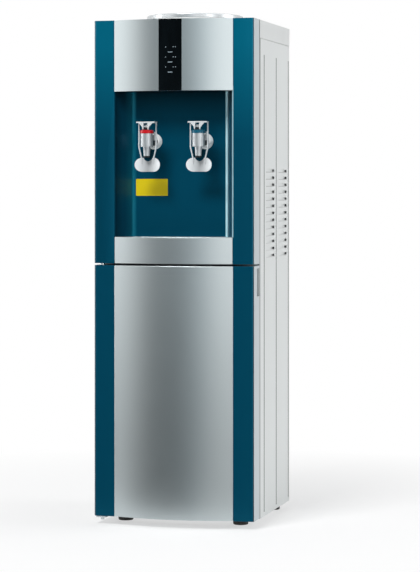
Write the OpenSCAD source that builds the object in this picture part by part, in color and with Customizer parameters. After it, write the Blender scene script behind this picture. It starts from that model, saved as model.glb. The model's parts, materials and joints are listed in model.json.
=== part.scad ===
// Free-standing bottled-water cooler with a hot tap, a cold tap and a storage cabinet.
// Millimetres, +Z up, front towards -Y, origin on the floor under the middle of the case.

/* [Case] */
// Width over the two corner columns
case_w = 310; // [300:1:340]
// Depth from the crown of the bowed panels to the back
case_d = 320; // [312:1:350]
// Height of the feet
foot_h = 14; // [10:1:20]
// Height of the door opening, from the feet to the top of the door
door_zone_h = 474; // [460:1:520]
// Gap above the door, between the door and the drip tray front
door_top_gap = 3.5; // [3:0.1:5]
// Height of the drip tray front
tray_h = 50; // [46:1:58]
// Height of the tap niche
niche_h = 272.5; // [265:0.5:300]
// Height of the control fascia
fascia_h = 134; // [125:1:145]
// Height of the cover's skirt at the sides and back
skirt_h = 34; // [30:1:40]
// Gap between the steel side panels and the cover's skirt
skirt_gap = 0.6; // [0.3:0.1:1]
// Radius of the cover's rear corners
cover_corner_r = 5; // [4:1:20]

/* [Front panels] */
// Width of the bowed centre panels
panel_w = 230; // [224:1:238]
// Height of the bow at the middle of the panels
bow = 18; // [14:0.5:20]
// Radius of the rounded outer edges of the columns
column_r = 3; // [2.5:0.1:4]
// Wall of the moulded plastic panels
shell = 3; // [2.5:0.1:3.2]
// Wall of the thin skins and trays
skin = 2; // [1.6:0.1:2.2]
// Depth from the flat front plane to the steel case
front_d = 48.5; // [48:0.5:52]
// Depth of the sunken backing plate behind the bowed panels
backing_in = 7.5; // [7:0.1:8]
// Gap between neighbouring panels
panel_gap = 0.3; // [0.2:0.05:0.4]
// Shadow gap between the front mouldings and the steel case
shadow_gap = 0.8; // [0.6:0.05:0.9]

/* [Niche and tray] */
// Width of the niche at its back wall
niche_back_w = 184; // [178:1:190]
// Depth of the niche behind the front plane
niche_d = 48; // [46:0.5:48]
// Running gap round the drip tray
tray_gap = 0.8; // [0.5:0.1:1]
// Thickness of the drip grille
grille_t = 3; // [2.5:0.1:4]
// Width of a slot in the grille
slot_w = 5; // [4.5:0.5:6]
// Distance between grille slots
slot_pitch = 10; // [9:0.5:12]

/* [Door] */
// Clear gap behind the door for its swing
door_swing_gap = 3.4; // [3.3:0.1:4]
// Distance of the hinge axis from the side of the case
hinge_in = 12; // [11:0.5:14]
// Distance of the hinge axis behind the flat front plane
hinge_back = 15; // [14:0.5:18]
// Radius of the hinge pins
hinge_pin_r = 3; // [2.5:0.1:3.5]
// Radial clearance of the hinge pins in the door
hinge_clear = 0.05; // [0.02:0.01:0.1]
// Length of each hinge pin inside the door
hinge_pin_len = 13; // [10:1:16]
// Height of the grip notch in the door's free edge
grip_h = 52; // [40:1:70]
// Depth of the grip notch from the side
grip_in = 12; // [9:0.5:13]
// Length of the grip notch, front to back
grip_len = 19.5; // [16:0.5:22]
// Distance of the grip notch below the top of the door
grip_drop = 5; // [5:1:20]

/* [Steel case] */
// Thickness of the steel sheet
sheet = 1; // [0.8:0.1:1.2]
// Step from the side of the mouldings in to the steel side panels
side_step = 1; // [0.5:0.1:1.5]
// Distance of the back panel inside the rear edge
back_recess = 12; // [11:0.5:14]
// Radius of a rubber foot
foot_r = 15.5; // [12:0.5:18]
// Distance of the front feet from the side of the case
foot_front_side = 42; // [38:1:50]
// Distance of the rear feet from the side of the case
foot_rear_side = 28; // [20:1:50]
// Distance of the front feet behind the front edge of the steel case
foot_front_in = 19.5; // [18:0.5:34]
// Distance of the rear feet from the rear edge
foot_rear_in = 32; // [30:1:60]
// Number of louvre rows in each side panel
louvre_rows = 13; // [8:1:14]
// Distance between louvre rows
louvre_pitch = 13.5; // [11:0.5:15]
// Height of the lowest louvre above the niche floor
louvre_drop = -37; // [-40:1:0]
// Length of a louvre as a share of the side panel's depth
louvre_share = 0.28; // [0.2:0.01:0.29]
// Height of a louvre
louvre_h = 6.4; // [5:0.2:8]
// Depth of a louvre at its open end
louvre_deep = 4; // [3:0.2:5]
// Width of the pressed vertical grooves
groove_w = 4; // [2:0.5:6]
// Depth of the pressed vertical grooves
groove_deep = 0.6; // [0.3:0.1:0.7]
// Depth of the storage cabinet
cabinet_d = 190; // [150:1:200]
// Height of the shelf above the cabinet floor
shelf_rise = 220; // [150:1:300]
// Height of the divider under the water compartment, above the top of the cabinet
divider_rise = 4; // [3:0.5:5]

/* [Taps] */
// Distance of each tap from the middle
tap_x = 50; // [44:1:54]
// Height of the tap spouts' axis above the niche floor
tap_rise = 179.5; // [170:0.5:190]
// Distance of a tap's barrel in front of the niche wall
tap_reach = 53; // [50:0.5:53]
// Radius of the tap barrel
barrel_r = 11.75; // [11:0.05:12]
// Height of the tap barrel
barrel_h = 25; // [24:0.5:28]
// Radius of the tap's tail through the niche wall
tail_r = 8; // [7:0.1:8.5]
// Radial clearance of the tail in the niche wall
tail_clear = 0.1; // [0.05:0.01:0.2]
// Height of the coloured ring on the barrel
tap_ring_h = 6; // [5:0.5:7]
// Radius of the valve stem
stem_r = 2.5; // [2.2:0.1:2.6]
// Radial clearance of the valve stem in the coloured ring
stem_clear = 0.1; // [0.05:0.01:0.15]
// Width of the lever's top plate
lever_w = 36; // [35:0.5:39]
// Width of the oval paddle
paddle_w = 49; // [46:1:56]
// Height of the oval paddle
paddle_h = 26; // [24:1:30]

/* [Bottle seat] */
// Place of the bottle seat, front to back
seat_y = 13; // [8:1:16]
// Radius of the seat's flange
seat_r = 93; // [88:1:95]
// Height of the raised ring on the cover
ring_h = 8.5; // [7:0.5:14]
// Thickness of the seat's flange
seat_flange_h = 8.5; // [7:0.5:10]
// Rounding of the seat's rim
seat_edge_r = 2.5; // [1:0.5:4]
// Radius of the guide for the bottle neck
neck_r = 30; // [28:0.5:31]
// Length of the guide for the bottle neck
neck_len = 30; // [26:1:34]
// Radius of the spike that opens the bottle
spike_r = 9; // [7:0.5:10]

/* [Water system] */
// Clearance between the hot tap's hose and the cold tank's foam
riser_clear = 1.4; // [1.2:0.1:4]
// Height of the cold tank above the niche floor
cold_rise = 153.5; // [150:0.5:156]
// Height of the cold tank
cold_h = 167; // [150:1:170]
// Thickness of the foam round the cold tank
foam_t = 17.5; // [14:0.5:18]
// Difference between the radii of the cold tank and the hot tank
hot_less = 20; // [19:1:26]
// Height of the hot tank
hot_h = 120; // [110:1:124]
// Radius of the tank stubs that the hoses slide on
stub_r = 5; // [4:0.1:5.5]
// Wall of the silicone hoses
hose_wall = 2.4; // [1.8:0.1:2.5]
// Side of the square fan frame
fan_w = 80; // [70:1:84]
// Depth of the fan frame
fan_t = 15; // [12:0.5:15]
// Number of heat sink fins
fin_count = 13; // [7:2:15]
// Distance of the switches and the mains inlet from the side of the case
socket_in = 70; // [64:1:80]
// Number of fan blades
blade_count = 7; // [5:1:9]

/* [Hidden] */
$fn = 96;
bow_fn = 720;
eps = 0.01;
over = 1;

// Face-to-face clearance between separate pieces
fit = 0.3;

// Planes from side to side
side_x = case_w / 2;
steel_x = side_x - side_step;
inside_x = steel_x - sheet - fit;
panel_x = panel_w / 2;
column_x = panel_x + panel_gap;

// Planes from front to back
crown_y = -case_d / 2;
front_y = crown_y + bow;
band_y = front_y + column_r;
backing_y = front_y + backing_in;
steel_y = front_y + front_d;
band_back_y = steel_y - shadow_gap;
rear_y = case_d / 2;
web_y = rear_y - back_recess - sheet;
niche_y = front_y + niche_d;

// Heights
door_z = foot_h + 1.5;
door_top = foot_h + door_zone_h;
tray_z = door_top + door_top_gap;
niche_z = tray_z + tray_h;
niche_top = niche_z + niche_h;
case_top = niche_top + fascia_h;
skirt_z = case_top - skirt_h;
ring_top = case_top + ring_h;
seat_top = ring_top + seat_flange_h;

// Bow of the centre panels
bow_r = (panel_x * panel_x + bow * bow) / (2 * bow);
niche_slope = (panel_x - niche_back_w / 2) / niche_d;
slope_k = sqrt(1 + niche_slope * niche_slope);

// A box given by its ranges along x, y and z
module block(x, y, z) {
  translate([x[0], y[0], z[0]]) cube([x[1] - x[0], y[1] - y[0], z[1] - z[0]]);
}

// A cylinder along Y from y0 to y1
module rod_y(r, x, z, y0, y1) {
  translate([x, y0, z]) rotate([-90, 0, 0]) cylinder(r = r, h = y1 - y0);
}

// A cylinder along X from x0 to x1
module rod_x(r, y, z, x0, x1) {
  translate([x0, y, z]) rotate([0, 90, 0]) cylinder(r = r, h = x1 - x0);
}

// A cylinder along Z from z0 to z1
module rod_z(r, x, y, z0, z1) {
  translate([x, y, z0]) cylinder(r = r, h = z1 - z0);
}

// A round wall between two radii
module sleeve(outer, inner, z0, z1) {
  difference() {
    translate([0, 0, z0]) cylinder(r = outer, h = z1 - z0);
    translate([0, 0, z0 - over]) cylinder(r = inner, h = z1 - z0 + 2 * over);
  }
}

// The same thing on the left and on the right
module both_sides() {
  children();
  mirror([1, 0, 0]) children();
}

// Everything between two heights, from a plan
module raise(z0, z1) {
  translate([0, 0, z0]) linear_extrude(z1 - z0) children();
}

// Plan of a bowed panel, moved in by an inset and closed at a back line
module bow_plan(inset, y_back) {
  intersection() {
    translate([0, crown_y + bow_r]) circle(r = bow_r - inset, $fn = bow_fn);
    translate([-panel_x + inset, crown_y]) square([panel_w - 2 * inset, y_back - crown_y]);
  }
}

// Plan of the curved skin of a bowed panel between two depths under its surface
module bow_skin_plan(deep0, deep1, x0, x1) {
  intersection() {
    difference() {
      translate([0, crown_y + bow_r]) circle(r = bow_r - deep0, $fn = bow_fn);
      translate([0, crown_y + bow_r]) circle(r = bow_r - deep1, $fn = bow_fn);
    }
    translate([x0, crown_y - over]) square([x1 - x0, backing_y - crown_y]);
  }
}

// Half width of the niche at a distance from the front, moved in by an inset
function niche_x(y, inset) = niche_back_w / 2 + niche_slope * (niche_y - y) - inset * slope_k;

// Plan of the niche from a front line to its back wall
module niche_plan(inset, y_from) {
  y_to = niche_y - inset;
  polygon([[-niche_x(y_from, inset), y_from], [-niche_x(y_to, inset), y_to],
    [niche_x(y_to, inset), y_to], [niche_x(y_from, inset), y_from]]);
}

// Plan of the drip tray, niche part and bowed front together, moved in from the niche walls
module tray_plan(inset) {
  front_x = niche_x(front_y, inset);
  y_to = niche_y - inset;
  back_x = niche_x(y_to, inset);
  intersection() {
    polygon([[-front_x, crown_y - over], [-front_x, front_y], [-back_x, y_to], [back_x, y_to],
      [front_x, front_y], [front_x, crown_y - over]]);
    translate([0, crown_y + bow_r]) circle(r = bow_r - inset + tray_gap, $fn = bow_fn);
  }
}

// Plan of one corner column, right side, with its flange beside the bowed panel
module column_plan() {
  translate([column_x, front_y]) square([side_x - column_r - column_x, column_r]);
  intersection() {
    translate([side_x - column_r, band_y]) circle(r = column_r);
    translate([side_x - column_r, front_y]) square([column_r, column_r]);
  }
  translate([column_x, front_y]) square([shell, backing_in + shell - eps]);
}

// Two corner columns
module columns(z0, z1) {
  both_sides() raise(z0, z1) column_plan();
}

// Sunken plate between the columns, behind a bowed panel
module backing(z0, z1) {
  block([-column_x - shell, column_x + shell], [backing_y, backing_y + shell], [z0, z1]);
}

// Bottom of the case
foot_stem_r = 4;
screw_r = 1.7;
screw_bore_r = 1.8;
screw_head_r = 3.5;
screw_head_h = 2.2;
screw_len = 9;
base_flange_h = 18;
base_screw_z = foot_h + 10;
bracket_t = 2.2;
pin_head_h = 4.8;
bracket_x = [-side_x + 2, -side_x + 21];
bracket_screw_x = bracket_x[0] + 11;
base_t = 1.5;
basin_wall = 2.5;
shelf_y = niche_y + basin_wall + fit;
bracket_y = [front_y + 7, steel_y + 34];
bracket_screw_y = [steel_y + 12, steel_y + 26];
hinge_x = -side_x + hinge_in;
hinge_y = front_y + hinge_back;
back_screw_x = [-110, 0, 110];
divider_z = door_top - divider_rise;
back_screw_z = [base_screw_z, divider_z + 8, skirt_z - 6];

module foot_places() {
  both_sides() {
    translate([side_x - foot_front_side, steel_y + foot_front_in, 0]) children();
    translate([side_x - foot_rear_side, rear_y - foot_rear_in, 0]) children();
  }
}

module back_screw_bores(r) {
  for (x = back_screw_x, z = back_screw_z)
    rod_y(r, x, z, web_y - screw_len - over, web_y + sheet + over);
}

module base_plate() {
  color("#C9CCCC") difference() {
    union() {
      block([-inside_x, inside_x], [shelf_y, web_y - fit], [foot_h, foot_h + base_t]);
      both_sides() block([inside_x - base_t, inside_x], [shelf_y, web_y - fit],
        [foot_h, foot_h + base_flange_h]);
      block([-inside_x, inside_x], [web_y - fit - base_t, web_y - fit], [foot_h, foot_h + base_flange_h]);
    }
    foot_places() rod_z(foot_stem_r + fit / 6, 0, 0, 0, foot_h + 4);
    back_screw_bores(screw_bore_r);
    for (y = bracket_screw_y) rod_z(screw_bore_r, bracket_screw_x, y, 0, foot_h + 4);
  }
}

module feet() {
  color("#1A1A1C") foot_places() {
    cylinder(r1 = foot_r - 1.5, r2 = foot_r, h = foot_h);
    rod_z(foot_stem_r, 0, 0, foot_h - over, foot_h + base_t);
  }
}

// Side panels with grooves and louvres
louvre_z = niche_z + louvre_drop;
side_span = rear_y - steel_y;
louvre_len = louvre_share * side_span;
groove_y = [steel_y + 0.148 * side_span, steel_y + 0.5424 * side_span, rear_y - 11];
louvre_y = [groove_y[0] + 0.055 * side_span, groove_y[1] + 0.079 * side_span];
groove_z = [foot_h + 8, skirt_z - 30];
flange_w = 6;
louvre_cheek = 0.8;

// Plan of a louvre's sloping floor, or of its whole cheek, in a right side panel
module louvre_plan(y0, cheek) {
  y1 = y0 + louvre_len;
  top = cheek ? [steel_x, y1] : [steel_x - louvre_deep, y1];
  polygon([[steel_x, y0], top, [steel_x - louvre_deep - sheet, y1], [steel_x - sheet, y0]]);
}

module louvre_hole(y0, z) {
  block([steel_x - sheet - over, steel_x + over], [y0, y0 + louvre_len], [z, z + louvre_h]);
}

module louvre(y0, z) {
  raise(z, z + louvre_h) louvre_plan(y0, false);
  raise(z, z + louvre_cheek) louvre_plan(y0, true);
  raise(z + louvre_h - louvre_cheek, z + louvre_h) louvre_plan(y0, true);
}

module side_panel() {
  color("#D9DCDC") {
    difference() {
      union() {
        block([steel_x - sheet, steel_x], [steel_y, rear_y - 2], [foot_h, skirt_z - skirt_gap]);
        block([steel_x - flange_w, steel_x - sheet + eps], [steel_y, steel_y + sheet],
          [foot_h, skirt_z - skirt_gap]);
      }
      for (y = groove_y) block([steel_x - groove_deep, steel_x + over],
        [y - groove_w / 2, y + groove_w / 2], groove_z);
      for (y = louvre_y, i = [0 : louvre_rows - 1]) louvre_hole(y,
        louvre_z - louvre_h / 2 + i * louvre_pitch);
    }
    for (y = louvre_y, i = [0 : louvre_rows - 1]) louvre(y, louvre_z - louvre_h / 2 + i * louvre_pitch);
  }
}

module side_panel_right() {
  side_panel();
}

module side_panel_left() {
  mirror([1, 0, 0]) side_panel();
}

// Fan, drain, switches and mains inlet on the back panel
cold_tank_z = niche_z + cold_rise;
fan_z = cold_tank_z + 35;
fan_bore_r = fan_w / 2 - 3;
drain_x = -20;
drain_z = divider_z + 13;
drain_r = 9;
drain_flange_r = 14;
switch_pitch = 24;
switch_x = side_x - socket_in;
switch_z = divider_z + 91;
switch_open = [14, 25.2];
switch_frame_size = [46, 34];
inlet_x = side_x - socket_in;
inlet_z = divider_z + 46;
inlet_body = [27, 20];
inlet_flange = [38, 26];

module vent_slots() {
  for (i = [-4 : 4]) {
    half = sqrt(fan_bore_r * fan_bore_r - pow(i * 8, 2)) - 2;
    block([i * 8 - 2, i * 8 + 2], [web_y - over, web_y + sheet + over], [fan_z - half, fan_z + half]);
  }
}

module back_panel() {
  color("#D2D5D5") difference() {
    union() {
      block([-inside_x, inside_x], [web_y, web_y + sheet], [foot_h + 2, skirt_z - fit]);
      both_sides() block([inside_x - sheet, inside_x], [web_y, rear_y - 3], [foot_h + 2, skirt_z - fit]);
      block([-inside_x, inside_x], [web_y, rear_y - 3], [foot_h + 2, foot_h + 2 + sheet]);
    }
    back_screw_bores(screw_bore_r + 0.2);
    vent_slots();
    rod_y(drain_r + 0.2, drain_x, drain_z, web_y - over, web_y + sheet + over);
    block([switch_x - switch_pitch / 2 - 9, switch_x + switch_pitch / 2 + 9],
      [web_y - over, web_y + sheet + over], [switch_z - 14.5, switch_z + 14.5]);
    block([inlet_x - inlet_body[0] / 2 - 0.2, inlet_x + inlet_body[0] / 2 + 0.2],
      [web_y - over, web_y + sheet + over],
      [inlet_z - inlet_body[1] / 2 - 0.2, inlet_z + inlet_body[1] / 2 + 0.2]);
  }
}

// Top cover with the raised ring round the bottle seat
cover_wall = 2.5;
well_r = 76;
seat_skirt_r = well_r - 1;
well_h = 40;
lip_h = 10;

// Plan of the cover, with rounded rear corners
module cover_plan(inset) {
  r = cover_corner_r - inset;
  x = side_x - inset;
  y0 = steel_y + inset;
  y1 = rear_y - inset;
  translate([-x, y0]) square([2 * x, y1 - y0 - r]);
  translate([-x + r, y0]) square([2 * (x - r), y1 - y0]);
  for (s = [-1, 1]) translate([s * (x - r), y1 - r]) circle(r = r);
}

module top_cover() {
  color("#E2E4E4") difference() {
    union() {
      difference() {
        raise(skirt_z, case_top) cover_plan(0);
        raise(skirt_z - over, case_top - cover_wall) cover_plan(cover_wall);
      }
      both_sides() block([inside_x - cover_wall, inside_x], [steel_y + 20, web_y - 20],
        [skirt_z - lip_h, skirt_z + over]);
      both_sides() block([inside_x - cover_wall, side_x - cover_wall + eps], [steel_y + 20, web_y - 20],
        [skirt_z, skirt_z + cover_wall]);
      block([-inside_x + 40, inside_x - 40], [web_y - fit - cover_wall, web_y - fit],
        [skirt_z - lip_h, case_top - cover_wall + eps]);
      translate([0, seat_y, 0]) {
        translate([0, 0, case_top - eps]) cylinder(r1 = seat_r + 6, r2 = seat_r + 1, h = ring_h);
        rod_z(well_r + cover_wall, 0, 0, case_top - well_h, case_top);
      }
    }
    translate([0, seat_y, 0]) rod_z(well_r, 0, 0, case_top - well_h - over, ring_top + over);
    back_screw_bores(screw_bore_r);
  }
}

// Shelves inside the case
shelf_flange_h = 14;
tank_shelf_t = 1.5;
foam_floor = 18;
tank_shelf_z = cold_tank_z - foam_floor - tank_shelf_t - 2 * fit;
feed_hole_r = 10;

module shelf_plate(z, t) {
  block([-inside_x, inside_x], [shelf_y, web_y - fit], [z, z + t]);
}

module divider_shelf() {
  color("#B9BDBD") difference() {
    union() {
      shelf_plate(divider_z, 1.2);
      block([-inside_x, inside_x], [web_y - fit - 1.2, web_y - fit],
        [divider_z, divider_z + shelf_flange_h]);
      both_sides() block([inside_x - 1.2, inside_x], [shelf_y, web_y - fit],
        [divider_z - 3, divider_z + eps]);
    }
    back_screw_bores(screw_bore_r);
    rod_y(drain_r + 1, drain_x, drain_z, web_y - 3, web_y);
  }
}

// The tank shelf is narrower at the louvres and reaches the side panels between them
louvre_in_x = steel_x - louvre_deep - sheet - fit;
tab_y = [[shelf_y, louvre_y[0] - 3], [louvre_y[0] + louvre_len + 3, louvre_y[1] - 3]];
tab_flange_h = 12;

module tank_shelf() {
  color("#B9BDBD") difference() {
    union() {
      block([-louvre_in_x, louvre_in_x], [shelf_y, web_y - fit],
        [tank_shelf_z, tank_shelf_z + tank_shelf_t]);
      for (y = tab_y) both_sides() {
        block([louvre_in_x - eps, inside_x], y, [tank_shelf_z, tank_shelf_z + tank_shelf_t]);
        block([inside_x - 1.2, inside_x], y, [tank_shelf_z - tab_flange_h, tank_shelf_z + eps]);
      }
    }
    rod_z(feed_hole_r, 0, seat_y, tank_shelf_z - over, tank_shelf_z + tank_shelf_t + over);
    for (x = [-tap_x, tap_x])
      block([x - 14, x + 14], [steel_y - over, steel_y + 44], [tank_shelf_z - over, tank_shelf_z + 3]);
    block([-fan_w / 2 - 2, fan_w / 2 + 2], [web_y - 50, web_y], [tank_shelf_z - over, tank_shelf_z + 3]);
  }
}

// Upper front mouldings
module upper_surround() {
  color("#C3C9CB") difference() {
    union() {
      both_sides() {
        block([side_x - shell, side_x], [band_y, band_back_y], [tray_z, case_top]);
        block([side_x - 15, side_x], [band_back_y - shell, band_back_y], [tray_z, case_top]);
      }
      for (z = [tray_z, case_top - shell]) {
        block([-side_x, side_x], [backing_y + shell + fit, band_back_y], [z, z + shell]);
        both_sides() block([column_x + shell + fit, side_x], [band_y, band_back_y], [z, z + shell]);
      }
    }
    rod_z(hinge_pin_r + hinge_clear, hinge_x, hinge_y, tray_z - over, tray_z + shell + over);
  }
}

pocket_z = tray_z + shell + fit;
tap_z = niche_z + tap_rise;
tap_y = niche_y - tap_reach;

module front_panel() {
  color("#0B5069") difference() {
    union() {
      columns(tray_z, case_top);
      backing(niche_top + fit, case_top);
      difference() {
        raise(pocket_z, niche_top) niche_plan(-basin_wall, front_y);
        raise(pocket_z + basin_wall, niche_top + over) niche_plan(0, front_y - over);
      }
      raise(niche_top - eps, niche_top + basin_wall) niche_plan(-basin_wall, backing_y);
    }
    for (x = [-tap_x, tap_x]) rod_y(tail_r + tail_clear, x, tap_z, niche_y - over,
      niche_y + basin_wall + over);
  }
}

// Control fascia with its display strip
display_x = [-23.5, 21.3];
display_deep = 1.5;
fascia_wall = 2.5;
led_x = -1;
led_z0 = niche_top + 81.3;
led_pitch = -18.6;
led_r = 2;
board_x = 46;
board_y = crown_y + 10.5;
board_t = 1.6;
board_z = [niche_top + 22, niche_top + 104];
post_r = 3;
leds = [for (i = [0 : 2]) led_z0 + i * led_pitch];

module bowed_shell(z0, z1, wall) {
  difference() {
    raise(z0, z1) bow_plan(0, backing_y - fit);
    raise(z0 + wall, z1 - wall) bow_plan(wall, backing_y + over);
  }
}

module control_fascia() {
  z0 = niche_top + panel_gap;
  z1 = case_top;
  color("#B4B9BB") difference() {
    union() {
      bowed_shell(z0, z1, fascia_wall);
      raise(z0, z1) bow_skin_plan(display_deep, display_deep + 2, display_x[0] - 2, display_x[1] + 2);
      for (x = [-board_x + 5, board_x - 5], z = [board_z[0] + 5, board_z[1] - 5])
        rod_y(post_r, x, z, crown_y + 5, board_y);
    }
    raise(z0 - over, z1 + over) bow_skin_plan(-over, display_deep, display_x[0], display_x[1]);
    for (z = leds) rod_y(led_r + 0.1, led_x, z, crown_y - over, crown_y + 6);
  }
}

module display_window() {
  color("#0A0B0D") raise(niche_top + panel_gap, case_top)
    bow_skin_plan(0, display_deep - 0.1, display_x[0] + 0.2, display_x[1] - 0.2);
}

module indicator_lenses() {
  color("#E8EEF0") for (z = leds) rod_y(led_r, led_x, z, crown_y + display_deep + 0.1, board_y - 1.5);
}

// Chips on the back of the board: reach across, reach up from its lower edge, height
board_chips = [[[-30, -14], [12, 26], 5], [[6, 34], [8, 18], 8], [[10, 26], [40, 56], 2.5]];

module control_board() {
  color("#1F5A34") {
    block([-board_x, board_x], [board_y, board_y + board_t], board_z);
    for (z = leds) block([led_x - 2.5, led_x + 2.5], [board_y - 1.4, board_y + eps], [z - 2.5, z + 2.5]);
    for (c = board_chips) block(c[0], [board_y + board_t - eps, board_y + board_t + c[2]],
      [board_z[0] + c[1][0], board_z[0] + c[1][1]]);
  }
}

// Drip tray and its grille
grille_z = niche_z - 1 - grille_t;
grille_ledge = 2;

// Plan of the tray's front lip, which hangs in front of the pocket
module tray_lip_plan() {
  lip_x = niche_x(front_y, tray_gap);
  intersection() {
    translate([-lip_x, crown_y - over]) square([2 * lip_x, bow + over - panel_gap]);
    translate([0, crown_y + bow_r]) circle(r = bow_r, $fn = bow_fn);
  }
}

module drip_tray() {
  floor_z = pocket_z + basin_wall + fit;
  color("#B4B9BB") {
    difference() {
      raise(floor_z, niche_z - panel_gap) tray_plan(tray_gap);
      raise(floor_z + skin, grille_z) tray_plan(tray_gap + skin + grille_ledge);
      raise(grille_z - fit, niche_z + over) tray_plan(tray_gap + skin);
    }
    raise(tray_z + panel_gap, floor_z) tray_lip_plan();
  }
}

module drip_grille() {
  slot_y = [crown_y + 14, niche_y - 8];
  slots = floor((niche_back_w / 2 - 12) / slot_pitch);
  color("#8C9194") difference() {
    raise(grille_z, grille_z + grille_t) tray_plan(tray_gap + skin + fit);
    for (i = [-slots : slots])
      block([i * slot_pitch - slot_w / 2, i * slot_pitch + slot_w / 2], slot_y,
        [grille_z - over, grille_z + grille_t + over]);
  }
}

// Door
door_back_y = steel_y - 1.1 - door_swing_gap;
boss_r = hinge_pin_r + 4;
boss_h = hinge_pin_len + 5;
grip_x = side_x - grip_in;
grip_z = [door_top - grip_drop - grip_h, door_top - grip_drop];
catch_x = [90, 120];
catch_z = [door_top - 24, door_top - 12];

module door_frame() {
  color("#0A4A62") {
    columns(door_z, door_top);
    backing(door_z, door_top);
  }
}

module door_fascia() {
  color("#B4B9BB") bowed_shell(door_z + panel_gap, door_top - panel_gap, 1.5);
}

module door_liner() {
  color("#C3C9CB") difference() {
    union() {
      both_sides() block([side_x - shell, side_x], [band_y, door_back_y], [door_z, door_top]);
      for (z = [door_z, door_top - shell])
        block([-side_x, side_x], [backing_y + shell + fit, door_back_y], [z, z + shell]);
      both_sides() for (z = [door_z, door_top - shell])
        block([column_x + shell + fit, side_x], [band_y, door_back_y], [z, z + shell]);
      block([-side_x, side_x], [door_back_y - shell, door_back_y], [door_z, door_top]);
      for (z = [door_z, door_top - boss_h]) rod_z(boss_r, hinge_x, hinge_y, z, z + boss_h);
      block([grip_x - shell, side_x], [door_back_y - grip_len - shell, door_back_y],
        [grip_z[0] - shell, grip_z[1] + shell]);
      block([catch_x[0] - 3, catch_x[1] + 3], [door_back_y - eps, steel_y - 2.1],
        [catch_z[0] - 2, catch_z[1] + 2]);
    }
    for (z = [door_z, door_top - hinge_pin_len - over])
      rod_z(hinge_pin_r + hinge_clear, hinge_x, hinge_y, z - over, z + hinge_pin_len + 2 * over);
    block([grip_x, side_x + over], [door_back_y - grip_len, door_back_y + over], grip_z);
  }
}

module catch_plate() {
  color("#9AA0A2") block(catch_x, [steel_y - 2.1, steel_y - 1.4], catch_z);
}

module catch_magnet() {
  color("#2A2C2E") block([catch_x[0], catch_x[1]], [steel_y - 1.1, steel_y + 20],
    [catch_z[0], cabinet_top - fit]);
}

module hinge_pin_top() {
  color("#8E9496") translate([hinge_x, hinge_y, 0]) {
    rod_z(hinge_pin_r, 0, 0, door_top - hinge_pin_len, tray_z + shell + over);
    rod_z(hinge_pin_r + 2, 0, 0, door_top + fit, tray_z);
    rod_z(hinge_pin_r + 3, 0, 0, tray_z + shell, tray_z + shell + 2);
  }
}

module hinge_bracket() {
  color("#8E9496") difference() {
    union() {
      block(bracket_x, bracket_y, [foot_h - bracket_t, foot_h]);
      rod_z(hinge_pin_r + 0.5, hinge_x, hinge_y, foot_h - bracket_t - pin_head_h, foot_h - over);
      rod_z(hinge_pin_r, hinge_x, hinge_y, foot_h - over, door_z + hinge_pin_len);
      rod_z(hinge_pin_r + 2, hinge_x, hinge_y, foot_h - eps, door_z - fit);
    }
    for (y = bracket_screw_y)
      rod_z(screw_bore_r, bracket_screw_x, y, foot_h - bracket_t - over, foot_h + over);
  }
}

// Storage cabinet
cabinet_x = inside_x - 9;
cabinet_floor = foot_h + base_t + fit + skin;
cabinet_top = divider_z - 4 - skin;
cabinet_back = steel_y + cabinet_d;
shelf_z = cabinet_floor + shelf_rise;
shelf_t = 3;

module cabinet_liner() {
  color("#E6E8E8") {
    difference() {
      union() {
        block([-cabinet_x - skin, cabinet_x + skin], [steel_y - 1, cabinet_back + skin],
          [cabinet_floor - skin, cabinet_top + skin]);
        block([-inside_x, inside_x], [steel_y - 1.1, steel_y - 0.1], [cabinet_floor - skin, tray_z - 1.5]);
      }
      block([-cabinet_x, cabinet_x], [steel_y - 2, cabinet_back], [cabinet_floor, cabinet_top]);
    }
    both_sides() block([cabinet_x - 6, cabinet_x + eps], [steel_y + 6, cabinet_back],
      [shelf_z - fit - 3, shelf_z - fit]);
  }
}

module cabinet_shelf() {
  color("#DADDDD") difference() {
    block([-cabinet_x + fit, cabinet_x - fit], [steel_y + 6, cabinet_back - fit],
      [shelf_z, shelf_z + shelf_t]);
    for (i = [-6 : 6]) block([i * 20 - 4, i * 20 + 4], [steel_y + 24, cabinet_back - 22],
      [shelf_z - over, shelf_z + shelf_t + over]);
  }
}

// Taps, each drawn round its own barrel axis, with z from the axis of its tail
barrel_z = -11;
barrel_top = barrel_z + barrel_h;
nozzle_h = 20;
nozzle_z = barrel_z - nozzle_h;
bore_r = 9;
valve_seat_z = barrel_z + 2.5;
tap_ring_r = barrel_r + 0.75;
tap_ring_top = barrel_top + tap_ring_h;
pivot_y = -7;
pivot_z = tap_ring_top + 2.6;
pivot_r = 1.2;
collar_r = 15;
collar_t = 5;
nut_r = 13;
tail_end = tap_reach + 10;
barb_end = tail_end + 8;
barb_r = stub_r;
fork_z = [pivot_z + 3.4, pivot_z + 5.4];
fork_y = [-3.5, 2];
head_z = fork_z[1] + fit;
head_r = 4;
plate_z = pivot_z + 10.9;
plate_t = 2.5;
lever_t = 2;
post_x = [4, 6.3];
arm_y = [4.5, 8.5];
arm_x = lever_w / 2 - 0.3;
paddle_z = nozzle_z - 0.5 - paddle_h;
paddle_curve_r = 60;
paddle_t = 2.5;
paddle_y = 8;
guide_x = [9.4, arm_x - lever_t - fit];
guide_z = [1, 17];
notch_r = 9;
notch_drop = 6.4;

module tap_at(x) {
  translate([x, tap_y, tap_z]) children();
}

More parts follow.
